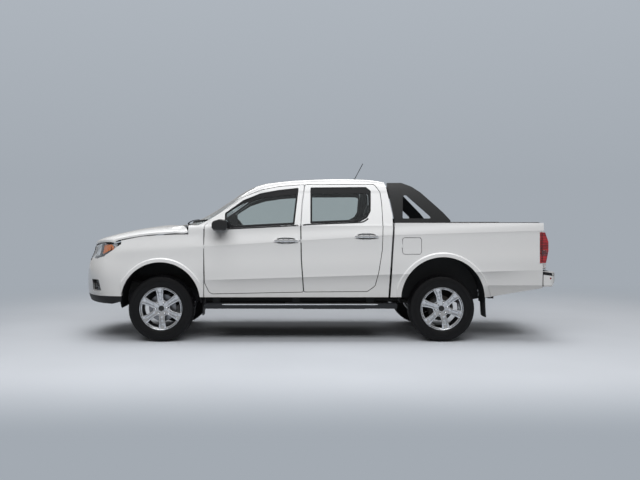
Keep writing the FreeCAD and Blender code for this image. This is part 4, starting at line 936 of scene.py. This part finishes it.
for name, side in sides.items():
    tree = treeOf("headlamps")
    lens = buildPiece("headlampLens_" + name, [lampShell(tree, side, headLamp["lens"])], clearLens)
    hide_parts("headlamps")
    lens.visible_shadow = False
    bowl = buildPiece("headlampBowl_" + name, [lampShell(tree, side, headLamp["bowl"])], lampReflector)
    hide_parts("headlamps")
    bars = [
        lampShell(tree, side, headLamp["divider"], 10, 9, *headLamp["dividerShare"]),
        lampShell(tree, side, headLamp["sill"], 40, 4, *headLamp["sillShare"])]
    buildPiece("headlampDivider_" + name, bars, glossBlack)
    lamp = lampShell(tree, side, headLamp["indicator"], 14, 9, *headLamp["indicatorShare"])
    buildPiece("indicatorLens_" + name, [lamp], amberLens)
print("stage: headlamps")

tailLamp = {
    "reverse": [(2.444, 0.935, 0.006), (2.508, 0.935, 0.006), (2.508, 0.990, 0.006), (2.444, 0.990, 0.006)],
    "reverseRings": [(1.0, -0.003), (1.0, 0.0006), (0.97, 0.0014), (0.5, 0.0018), (0.02, 0.0018)],
    "stripe": [(2.442, 0.868, 0.003), (2.450, 0.868, 0.003), (2.450, 1.182, 0.003), (2.442, 1.182, 0.003)],
    "stripeRings": [(1.0, -0.003), (1.0, 0.0008), (0.9, 0.0015), (0.02, 0.0015)],
}
for name, side in sides.items():
    pad, edge = roundedOutline(tailLamp["reverse"], 60), roundedOutline(tailLamp["stripe"], 80)
    sidePad("reversingLens_" + name, "tail_lamps", pad, side, tailLamp["reverseRings"], clearLens)
    sidePad("tailLampBezel_" + name, "tail_lamps", edge, side, tailLamp["stripeRings"], blackPlastic)
print("stage: tail lamps")

fogLamp = {
    "recess": [
        (-2.454, 0.664, 0.008), (-2.374, 0.667, 0.008), (-2.341, 0.553, 0.008), (-2.441, 0.550, 0.008)],
    "recessRings": [
        (1.0, -0.002), (1.0, 0.0025), (0.96, 0.004), (0.8, 0.003), (0.78, 0.001), (0.02, 0.001)],
    "place": (-2.405, 0.607), "lens": (0.058, 0.058, 0.0288),
    "lensRings": [(1.0, 0.0), (1.0, 0.006), (0.93, 0.009), (0.6, 0.012), (0.05, 0.013)],
}
splash = {
    "arch": (-1.680, 0.437), "radius": 0.437, "low": 0.368, "high": 0.640, "in": 0.47, "out": 0.855,
    "curl": 0.018, "curlDrop": 0.07, "thick": 0.005,
}
sillGuard = {
    "from": -1.196, "to": 0.790, "low": 0.408, "high": 0.490, "y": 0.772, "bulge": 0.010, "ripple": 0.0012,
    "ripples": 42, "thick": 0.004,
}
sideStep = {
    "from": -1.010, "to": 0.673, "level": 0.4115, "width": 0.012, "rise": 0.0010,
    "treadAt": (-0.93, 0.14), "treadLength": 0.60, "treads": 9, "treadY": 0.785, "treadStep": 0.012,
    "treadWidth": 0.005, "treadRise": 0.003,
}
wheelhouse = {
    "x": 1.378, "z": 0.470, "radius": 0.448, "half": 0.446, "low": 0.452, "y": 0.600, "thick": 0.004,
    "frontX": (-1.400, -1.212), "frontZ": (0.402, 0.560), "frontY": 0.448, "bulge": 0.003,
}
mudFlap = {
    # x, y, low and high end, and which way the bottom swings
    "front": (-1.216, 0.755, 0.285, 0.500, -0.6), "rear": (1.8385, 0.749, 0.262, 0.500, 1.0),
    "half": 0.115, "swing": 0.010, "bow": 0.004, "cornerLift": 0.010, "thick": 0.004,
}
for name, side in sides.items():
    recess = roundedOutline(fogLamp["recess"], 70)
    sidePad("fogInsert_" + name, "front_bumper", recess, side, fogLamp["recessRings"], glossBlack)
    lens = roundedLoop(*fogLamp["lens"], 10) + fogLamp["place"]
    sidePad("fogLens_" + name, "front_bumper", lens, side, fogLamp["lensRings"], clearLens)

    # splash shield: x follows the arch's circle above its centre, then curls back
    y, z = np.linspace(splash["in"], splash["out"], 14), np.linspace(splash["high"], splash["low"], 22)
    ys, zs = np.meshgrid(y, z, indexing="ij")
    lift, sag = np.clip(zs - splash["arch"][1], 0, None), np.clip(splash["arch"][1] - zs, 0, None)
    curl = splash["curl"] * (sag / splash["curlDrop"]) ** 1.6
    xs = splash["arch"][0] - np.sqrt(splash["radius"] ** 2 - lift ** 2) + curl
    buildPiece("splashShield_" + name, [slab(xs, side * ys, zs, [splash["thick"], 0, 0])], blackPlastic)

    x = np.linspace(sillGuard["from"], sillGuard["to"], 60)
    xs, zs = np.meshgrid(x, np.linspace(sillGuard["high"], sillGuard["low"], 8), indexing="ij")
    up = (zs - sillGuard["low"]) / (sillGuard["high"] - sillGuard["low"])
    ripple = sillGuard["ripple"] * np.cos(xs * sillGuard["ripples"])
    ys = sillGuard["y"] + sillGuard["bulge"] * np.sin(np.pi * up) + ripple
    guard = slab(xs, side * ys, zs, [0, -side * sillGuard["thick"], 0])
    buildPiece("sillGuard_" + name, [guard], blackPlastic)

    run = np.linspace(sideStep["from"], sideStep["to"], 50)
    ends = np.minimum(run - run[0], run[-1] - run) / 0.03
    width = sideStep["width"] * np.clip(ends, 0.25, 1) ** 0.5
    path = linePath(run, side * 0.95, sideStep["level"])
    strip = formedStrip(treeOf("side_steps"), path, (0, -side, 0), width, sideStep["rise"])
    buildPiece("stepStrip_" + name, [strip], brightTrim)
    treads = []
    for x0 in sideStep["treadAt"]:
        for y0 in sideStep["treadY"] + sideStep["treadStep"] * np.arange(sideStep["treads"]):
            path = linePath(np.linspace(x0, x0 + sideStep["treadLength"], 24), side * y0, 0.5)
            treads.append(formedStrip(
                treeOf("side_steps"), path, (0, 0, -1), sideStep["treadWidth"], sideStep["treadRise"]))
    buildPiece("stepTread_" + name, treads, rubber)

    # wheelhouse wall beside the rear wheel, its edge a circle about the arch centre; a short wall closes
    # the front arch behind its wheel
    x = wheelhouse["half"] * np.linspace(-1, 1, 40)[:, None]
    top = wheelhouse["z"] + np.sqrt(wheelhouse["radius"] ** 2 - x ** 2)
    zs = wheelhouse["low"] + (top - wheelhouse["low"]) * np.linspace(0, 1, 14)
    inward = [0, side * wheelhouse["thick"], 0]
    wall = slab(wheelhouse["x"] + x, side * wheelhouse["y"], zs, inward)
    buildPiece("wheelhouseWall_rear_" + name, [wall], blackPlastic)
    low, high = wheelhouse["frontZ"]
    xs, zs = np.meshgrid(np.linspace(*wheelhouse["frontX"], 12), np.linspace(low, high, 8), indexing="ij")
    ys = wheelhouse["frontY"] + wheelhouse["bulge"] * np.sin(np.pi * (zs - low) / (high - low))
    buildPiece("wheelhouseWall_front_" + name, [slab(xs, side * ys, zs, inward)], blackPlastic)

    for end in ("front", "rear"):
        x0, y0, low, high, swing = mudFlap[end]
        half = mudFlap["half"]
        ys, zs = np.meshgrid(np.linspace(-half, half, 12), np.linspace(high, low, 12), indexing="ij")
        swung = swing * mudFlap["swing"] * ((high - zs) / (high - low)) ** 2
        xs = x0 + swung - mudFlap["bow"] * (ys / half) ** 2
        zs = zs + mudFlap["cornerLift"] * (np.abs(ys) / half) ** 6 * (zs < low + 0.03)
        flap = slab(xs, side * y0 + ys, zs, [mudFlap["thick"], 0, 0])
        piece = buildPiece("mudFlap_" + end + "_" + name, [flap], rubber)
        if end == "rear":
            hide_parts("mud_flaps")

# skid plate: a tray whose floor turns up at its sides and nose, with pressed ribs
skidPlate = {
    "from": -2.300, "to": -1.800, "half": 0.345, "floor": 0.372, "top": 0.512, "thick": 0.004,
    "noseRise": 0.045, "noseAt": -2.10, "noseRun": 0.2, "rib": 0.004, "ribs": 90, "ribsFrom": -2.26,
    "ribsTo": -1.84,
    # shares of the half width: where it is reached, where the side turns up, and how far the ribs go
    "flat": 0.62, "turn": 0.6, "ribShare": 0.55, "thickShare": 0.64,
}
ts, xs = np.meshgrid(np.linspace(-1, 1, 41), np.linspace(skidPlate["from"], skidPlate["to"], 30))
away = np.abs(ts)
ys = skidPlate["half"] * np.sign(ts) * np.minimum(away / skidPlate["flat"], 1.0)
turned = np.clip((away - skidPlate["turn"]) / (1 - skidPlate["turn"]), 0, 1)
zs = skidPlate["floor"] + (skidPlate["top"] - skidPlate["floor"]) * turned
zs = zs + skidPlate["noseRise"] * np.clip((skidPlate["noseAt"] - xs) / skidPlate["noseRun"], 0, 1) ** 2
ribbed = (np.cos(ys * skidPlate["ribs"]) > 0.55) * (away < skidPlate["ribShare"])
zs = zs + skidPlate["rib"] * ribbed * (xs > skidPlate["ribsFrom"]) * (xs < skidPlate["ribsTo"])
inwards = -skidPlate["thick"] * np.clip((away - skidPlate["turn"]) / 0.05, 0, 1) * np.sign(ts)
upwards = skidPlate["thick"] * (away < skidPlate["thickShare"])
tray = slab(xs, ys, zs, np.stack([0 * xs, inwards, upwards], -1))
buildPiece("skidPlate", [tray], blackPlastic)
print("stage: lower body")

bedCap = {"from": 0.875, "to": 2.428, "y": 0.826, "width": 0.070, "rise": 0.007}
tieDown = {
    "at": (1.02, 1.72, 2.34), "level": 1.165, "half": 0.028, "drop": 0.030, "stand": 0.010,
    "wire": 0.0042, "boss": 0.0075, "bossBack": 0.002, "bossOut": 0.012,
}
gateHandle = {"size": (0.214, 0.030, 0.012), "depth": 0.006, "edge": 0.004, "place": (2.5035, 0, 1.173)}
bumperStep = {
    "half": 0.62, "x": 2.555, "treads": (-0.03, 0.045), "width": 0.007, "rise": 0.0035,
    "pad": [(2.467, 0.730, 0.006), (2.588, 0.713, 0.006), (2.588, 0.745, 0.006), (2.467, 0.763, 0.006)],
    "padRings": [(1.0, -0.003), (1.0, 0.0006), (0.97, 0.0012), (0.5, 0.0014), (0.02, 0.0014)],
    "reflector": (2.545, 0.690), "reflectorSize": (0.020, 0.020, 0.0098),
    "reflectorRings": [(1.0, -0.003), (1.0, 0.001), (0.8, 0.0025), (0.05, 0.003)],
    # the gap between bed and bumper is a painted shadow: a thin raised black strip on the bumper's side
    "seamX": (2.4640, 2.4645), "seamZ": (0.592, 0.762), "seamWidth": 0.006, "seamRise": 0.0012,
}
for name, side in sides.items():
    path = linePath(np.linspace(bedCap["from"], bedCap["to"], 60), side * bedCap["y"], 1.4)
    cap = formedStrip(treeOf("bed_shell"), path, (0, 0, -1), bedCap["width"], bedCap["rise"])
    buildPiece("bedRailCap_" + name, [cap], blackPlastic)
    loops = []
    a = np.linspace(0, np.pi, 15)
    for x0 in tieDown["at"]:
        z = tieDown["level"] - tieDown["drop"] * np.sin(a)
        ring = linePath(x0 + tieDown["half"] * np.cos(a), side * 0.6, z)
        wall, out = onSurface(treeOf("bed_shell"), ring, (0, side, 0), 0.1)
        loops.append(roundPipe(wall + out * tieDown["stand"], tieDown["wire"], 10))
        for k in (0, -1):
            base, tip = wall[k] - out[k] * tieDown["bossBack"], wall[k] + out[k] * tieDown["bossOut"]
            loops.append(roundPipe(np.linspace(base, tip, 4), tieDown["boss"]))
    buildPiece("tieDowns_" + name, loops, exhaustSteel)
handle = pillow(roundedLoop(*gateHandle["size"], 8), gateHandle["depth"], gateHandle["edge"])
handle = setOn(handle, gateHandle["place"], (0, 1, 0), (0, 0, 1))
buildPiece("gateHandle", [handle], glossBlack, "tailgate_panel")
bumper = treeOf("rear_bumper")
run = np.linspace(-bumperStep["half"], bumperStep["half"], 60)
treads = [
    formedStrip(bumper, linePath(x0, run, 0.9), (0, 0, -1), bumperStep["width"], bumperStep["rise"])
    for x0 in bumperStep["x"] + np.linspace(*bumperStep["treads"], 5)]
buildPiece("bumperTread", treads, rubber)
for name, side in sides.items():
    pad = roundedOutline(bumperStep["pad"], 70)
    sidePad("bumperPad_" + name, "rear_bumper", pad, side, bumperStep["padRings"], blackPlastic)
for name, side in sides.items():
    dot = roundedLoop(*bumperStep["reflectorSize"], 8) + bumperStep["reflector"]
    sidePad("bumperReflector_" + name, "rear_bumper", dot, side, bumperStep["reflectorRings"], redLens)
    # painted shadow of the gap between bed and bumper, a black strip
    seam = linePath(np.linspace(*bumperStep["seamX"], 20), side * 0.9, np.linspace(*bumperStep["seamZ"], 20))
    strip = formedStrip(bumper, seam, (0, -side, 0), bumperStep["seamWidth"], bumperStep["seamRise"])
    buildPiece("bumperSeam_" + name, [strip], blackPlastic)

brakeLamp = {
    "size": (0.30, 0.026, 0.010), "level": 1.735,
    "rings": [(1.0, -0.003), (1.0, 0.003), (0.97, 0.006), (0.6, 0.007), (0.02, 0.007)],
}
loop = roundedLoop(*brakeLamp["size"], 8)
loop = linePath(1.2, loop[:, 0], loop[:, 1] + brakeLamp["level"])
lamp = formedPad(treeOf("cab_shell", "rear_glass"), loop, (-1, 0, 0), brakeLamp["rings"])
buildPiece("thirdBrakeLamp", [lamp], redLens)
print("stage: bed and rear")

wiper = {
    "level": 1.300, "blades": ((-0.70, -0.14), (-0.06, 0.56)), "pivots": (-0.10, 0.60), "slant": (1, -0.4),
    "slope": 0.016, "bladeWidth": 0.011, "bladeRise": 0.014, "pivotLevel": 1.270, "armRise": 0.038,
    "arm": (0.0065, 0.004), "armStand": 0.018, "armBow": 0.006, "spindle": 0.011,
    "spindleDrop": 0.006, "spindleBack": 0.004, "spindleOut": 0.026,
}
screen = treeOf("windscreen")
blades, arms = [], []
for (y0, y1), pivot in zip(wiper["blades"], wiper["pivots"]):
    level = wiper["level"] + wiper["slope"] * np.linspace(*wiper["slant"], 40)
    path = linePath(-2.2, np.linspace(y0, y1, 40), level)
    blades.append(formedStrip(screen, path, (1, 0, 0), wiper["bladeWidth"], wiper["bladeRise"]))
    t = np.linspace(0, 1, 24)
    y = pivot + ((y0 + y1) / 2 - pivot) * t
    path = linePath(-2.2, y, wiper["pivotLevel"] + wiper["armRise"] * t)
    points, normals = onSurface(screen, path, (1, 0, 0))
    stand = wiper["armStand"] + wiper["armBow"] * np.sin(np.pi * t)
    arms.append(roundPipe(points + normals * stand[:, None], np.linspace(*wiper["arm"], 24)))
    base = points[0] - [0, 0, wiper["spindleDrop"]]
    inner, outer = base - normals[0] * wiper["spindleBack"], base + normals[0] * wiper["spindleOut"]
    spindle = np.linspace(inner, outer, 5)
    arms.append(roundPipe(spindle, wiper["spindle"], 16))
buildPiece("wiperBlades", blades, rubber)
buildPiece("wiperArms", arms, blackPlastic)
print("stage: wipers")

# seats: stuffed forms with sewn channels, over rigid plinths and posts; a profile's corners are x past the
# seat's own and z, and places are the middle and half width of each cushion
seatShape = {
    "bulge": 7.0, "headBulge": 3.6, "crown": 0.10, "seam": 0.006, "fill": 0.85,
    "base": [(0.005, 0.722), (0.472, 0.702), (0.478, 0.798), (0.005, 0.846)],
    "back": [(0.500, 0.742), (0.657, 1.330), (0.562, 1.346), (0.404, 0.742)],
    "head": [(0.640, 1.362), (0.680, 1.498), (0.612, 1.508), (0.570, 1.370)], "headHalf": 0.128,
    "baseChannels": (-0.45, 0.0, 0.45), "backChannels": (-0.5, -0.1, 0.3, 0.65), "bolsters": (0.66,),
    "rod": [(0.598, 1.300), (0.606, 1.340), (0.615, 1.395)], "rodShift": 0.055, "rodRadius": 0.006,
}
seatPlinth = {
    # section, distance from the seat's edge and ends of the side bars; the same and levels of the cross bars
    "side": (0.030, 0.128), "sideIn": 0.09, "sideEnds": ((0.07, 0.660), (0.43, 0.655)),
    "cross": (0.030, 0.040), "crossIn": 0.08, "crossAt": ((0.10, 0.690), (0.40, 0.685)),
}
seatRows = {
    "frontSeat_left": {"x": -0.700, "y": -0.370, "wide": 0.238, "places": [(-0.370, 0.238)]},
    "frontSeat_right": {"x": -0.700, "y": 0.370, "wide": 0.238, "places": [(0.370, 0.238)]},
    "rearSeat": {
        "x": 0.060, "y": 0.0, "wide": 0.636,
        "places": [(-0.4245, 0.2105), (0.0, 0.2105), (0.4245, 0.2105)]},
}


def stuffedBlock(corners, middle, half, bulge, cells=30, channels=(), bolsters=()):
    # a cube drawn to |u|^n + |v|^n + |w|^n = 1, then laid over a four-cornered side profile; seams pull it in
    t = np.linspace(-1, 1, cells + 1)
    us, vs = np.meshgrid(t, t, indexing="ij")
    clouds, faces = [], []
    for axis in range(3):
        for sign in (-1.0, 1.0):
            cube = np.empty(us.shape + (3,))
            cube[..., axis] = sign
            cube[..., (axis + 1) % 3] = us
            cube[..., (axis + 2) % 3] = vs
            faces.append(gridFaces(cells + 1, cells + 1) + len(clouds) * us.size)
            clouds.append(cube.reshape(-1, 3))
    p = np.concatenate(clouds)
    p = p / (np.abs(p) ** bulge).sum(1, keepdims=True) ** (1 / bulge)
    u, v, w = p.T
    w = w * (1 - seatShape["crown"] * (1 - (1 - u ** 4) * (1 - v ** 4)))
    v = v * (1 - 0.02 * (1 - u ** 2))
    pull = np.zeros_like(u)
    for place in channels:
        pull += np.exp(-((u - place) / 0.035) ** 2) * (np.abs(v) < 0.62)
    for place in bolsters:
        pull += np.exp(-((np.abs(v) - place) / 0.022) ** 2)
    a, b, c, d = corners
    s, r = (u[:, None] + 1) / 2, (w[:, None] + 1) / 2
    flat = (1 - r) * ((1 - s) * a + s * b) + r * ((1 - s) * d + s * c)
    upward = (d + c - a - b) / np.linalg.norm(d + c - a - b)
    flat -= upward * (seatShape["seam"] * pull * np.clip(w, 0, 1))[:, None]
    return np.column_stack([flat[:, 0], middle + v * half, flat[:, 1]]), np.concatenate(faces)


def buildSeat(name, x, y, wide, places, node):
    base, back, head, rod = (np.add(seatShape[key], (x, 0.0)) for key in ("base", "back", "head", "rod"))
    bulge, bolsters = seatShape["bulge"], seatShape["bolsters"]
    across, upward = seatShape["baseChannels"], seatShape["backChannels"]
    parts = {"Cushion": [], "Back": [], "Headrest": []}
    rods = []
    for middle, half in places:
        headrest = stuffedBlock(head, middle, seatShape["headHalf"], seatShape["headBulge"], 20)
        parts["Cushion"].append(stuffedBlock(base, middle, half, bulge, 30, across, bolsters))
        parts["Back"].append(stuffedBlock(back, middle, half, bulge, 30, upward, bolsters))
        parts["Headrest"].append(headrest)
        for shift in (-seatShape["rodShift"], seatShape["rodShift"]):
            rods.append(roundPipe(linePath(rod[:, 0], middle + shift, rod[:, 1]), seatShape["rodRadius"]))
    for kind, blocks in parts.items():
        piece = buildPiece(name + kind, blocks, seatCloth)
        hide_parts(node)
    rail = buildPiece(name + "Posts", rods, exhaustSteel)
    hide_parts(node)
    feet = []
    for k in (-1, 1):
        beside = y + k * (wide - seatPlinth["sideIn"])
        ends = [(x + far, beside, level) for far, level in seatPlinth["sideEnds"]]
        feet.append(roundedPost(*ends, *seatPlinth["side"]))
    for far, level in seatPlinth["crossAt"]:
        ends = [(x + far, y + k * (wide - seatPlinth["crossIn"]), level) for k in (-1, 1)]
        feet.append(roundedPost(*ends, *seatPlinth["cross"]))
    plinth = buildPiece(name + "Plinth", feet, trimPlastic)
    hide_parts(node)


for name, row in seatRows.items():
    buildSeat(name, node="rear_seat" if name == "rearSeat" else "front_seats", **row)
print("stage: seats")

coil = {
    "x": -1.6775, "y": 0.545, "low": 0.300, "high": 0.640, "radius": 0.055, "wire": 0.0075, "turns": 7,
    "damper": [(0.285, 0.02), (0.3, 0.026), (0.45, 0.026), (0.46, 0.012), (0.64, 0.012), (0.66, 0.020)],
}
for name, side in sides.items():
    t = np.linspace(0, 1, coil["turns"] * 24)
    a = 2 * np.pi * coil["turns"] * t
    path = linePath(
        coil["x"] + coil["radius"] * np.cos(a), side * coil["y"] + coil["radius"] * np.sin(a),
        coil["low"] + (coil["high"] - coil["low"]) * t)
    buildPiece("coilSpring_" + name, [roundPipe(path, coil["wire"], 8)], chassisPaint)
    level, radius = np.transpose(coil["damper"])
    damper = roundPipe(linePath(coil["x"], side * coil["y"], level), radius, 16)
    buildPiece("frontDamper_" + name, [damper], castIron)
print("stage: springs")

studio = {
    "floor": "#BABEC4", "floorHigh": "#BFC3C9", "bounce": "#3C3C3C", "air": "#A3AAB2", "airTop": "#AFB6BE",
    "fill": 0.2, "gloss": 0.42, "size": 60.0,
    "near": (-4.6, -2.5), "far": (1.0, 7.0), "beside": (3.2, 7.0), "middle": 0.6,
}
# place, aim, size, power, spread in degrees, and whether glossy and clear surfaces show the lamp
lamps = {
    "overheadGrid": ((0, 0, 9.0), (0, 0, 0), (15.0, 12.0), 305.0, 60.0, True),
    "frontSoftbox": ((-0.3, -6.8, 5.6), (0, -0.9, 0.9), (9.0, 2.6), 480.0, 180.0, False),
    "rearSoftbox": ((0.5, 7.5, 4.6), (0, 0, 0.8), (7.0, 2.0), 90.0, 180.0, True),
}


def makeFloor():
    # plain pale painted floor, lit near the truck and fading to the even grey of the air further out
    mesh = bpy.data.meshes.new("floorMesh")
    s = studio["size"]
    mesh.from_pydata([(-s, -s, 0), (s, -s, 0), (s, s, 0), (-s, s, 0)], [], [(0, 1, 2, 3)])
    floor = bpy.data.objects.new("studioFloor", mesh)
    scene.collection.objects.link(floor)
    material, tree, place = newMaterial("paintedStudioFloor")
    cloud = {"Vector": place["Object"], "Scale": 1.0 / 1.5, "Detail": 2.0}
    mottling = addNode(tree, "TexNoise", cloud)["Fac"]
    tones = [(0.3, hexLinear(studio["floor"])), (0.7, hexLinear(studio["floorHigh"]))]
    tone = addNode(tree, "ValToRGB", {"Fac": mottling}, tones)["Color"]
    # the camera and what mirrors or refracts it see the pale floor, and the body gets a darker bounce
    path = addNode(tree, "LightPath")
    seen = addNode(tree, "Math", (path["Is Camera Ray"], path["Is Glossy Ray"]), operation="MAXIMUM")[0]
    seen = addNode(tree, "Math", (seen, path["Is Transmission Ray"]), operation="MAXIMUM")[0]
    tones = {"Factor": seen, "A": hexLinear(studio["bounce"]), "B": tone}
    painted = addNode(tree, "BsdfPrincipled", {
        "Base Color": addNode(tree, "Mix", tones, data_type="RGBA")["Result"],
        "Roughness": 0.9, "Specular IOR Level": 0.1})[0]
    # the lit patch is the product of smooth steps along y in front, along y behind and along x
    at = addNode(tree, "SeparateXYZ", {"Vector": place["Object"]})
    off = addNode(tree, "Math", (at["X"], studio["middle"]), operation="SUBTRACT")[0]
    away = addNode(tree, "Math", (off,), operation="ABSOLUTE")[0]
    patch = stepProduct(tree, [
        (at["Y"], *studio["near"]), (at["Y"], *studio["far"][::-1]), (away, *studio["beside"][::-1])])
    dim = addNode(tree, "MapRange", {"Value": seen, "To Min": 0.25, "To Max": 1.0})[0]
    haze = addNode(tree, "Emission", {"Color": hexLinear(studio["air"]), "Strength": dim})[0]
    surface = addNode(tree, "MixShader", (patch, haze, painted))[0]
    addNode(tree, "OutputMaterial", {"Surface": surface})
    mesh.materials.append(material)


def makeAir():
    # even grey air for the camera and through glass, a plain white fill for the rest
    world = bpy.data.worlds.new("studioAir")
    scene.world = world
    world.use_nodes = True
    tree = world.node_tree
    tree.nodes.clear()
    at = addNode(tree, "SeparateXYZ", {"Vector": addNode(tree, "TexCoord")["Generated"]})
    tones = [(0.05, hexLinear(studio["air"])), (0.3, hexLinear(studio["airTop"]))]
    tone = addNode(tree, "ValToRGB", {"Fac": at["Z"]}, tones)["Color"]
    path = addNode(tree, "LightPath")
    seen = addNode(tree, "Math", (path["Is Camera Ray"], path["Is Transmission Ray"]), operation="MAXIMUM")[0]
    air = addNode(tree, "Background", {"Color": tone, "Strength": 1.0})[0]
    fill, gloss = (
        addNode(tree, "Background", {"Color": (1, 1, 1, 1), "Strength": studio[key]})[0]
        for key in ("fill", "gloss"))
    soft = addNode(tree, "MixShader", (path["Is Glossy Ray"], fill, gloss))[0]
    addNode(tree, "OutputWorld", {"Surface": addNode(tree, "MixShader", (seen, soft, air))[0]})


makeFloor()
makeAir()
for name, (place, aim, size, power, spread, mirrored) in lamps.items():
    data = bpy.data.lights.new(name, "AREA")
    data.shape = "RECTANGLE"
    data.size, data.size_y = size
    data.energy = power
    data.spread = math.radians(spread)
    lamp = bpy.data.objects.new(name, data)
    scene.collection.objects.link(lamp)
    lamp.location = place
    lamp.visible_camera = False
    lamp.visible_glossy = mirrored
    lamp.visible_transmission = mirrored
    lamp.rotation_euler = (Vector(aim) - Vector(place)).to_track_quat("-Z", "Y").to_euler()
print("stage: lamps and floor")

photoFrame = {
    "sensor": 36.0, "focalPixels": 775.0, "width": 640.0, "height": 480.0, "centre": (293.5, 220.0),
    "place": (-0.2385, -9.26, 1.322),
}
cameraData = bpy.data.cameras.new("photoCamera")
cameraData.sensor_width = photoFrame["sensor"]
cameraData.lens = photoFrame["sensor"] * photoFrame["focalPixels"] / photoFrame["width"]
cameraData.shift_x = (photoFrame["width"] / 2 - photoFrame["centre"][0]) / photoFrame["width"]
cameraData.shift_y = (photoFrame["centre"][1] - photoFrame["height"] / 2) / photoFrame["width"]
photoCamera = bpy.data.objects.new("photoCamera", cameraData)
photoCamera.location = photoFrame["place"]
photoCamera.rotation_euler = (math.radians(90), 0, 0)
scene.collection.objects.link(photoCamera)
scene.camera = photoCamera
scene.view_settings.view_transform = "Standard"
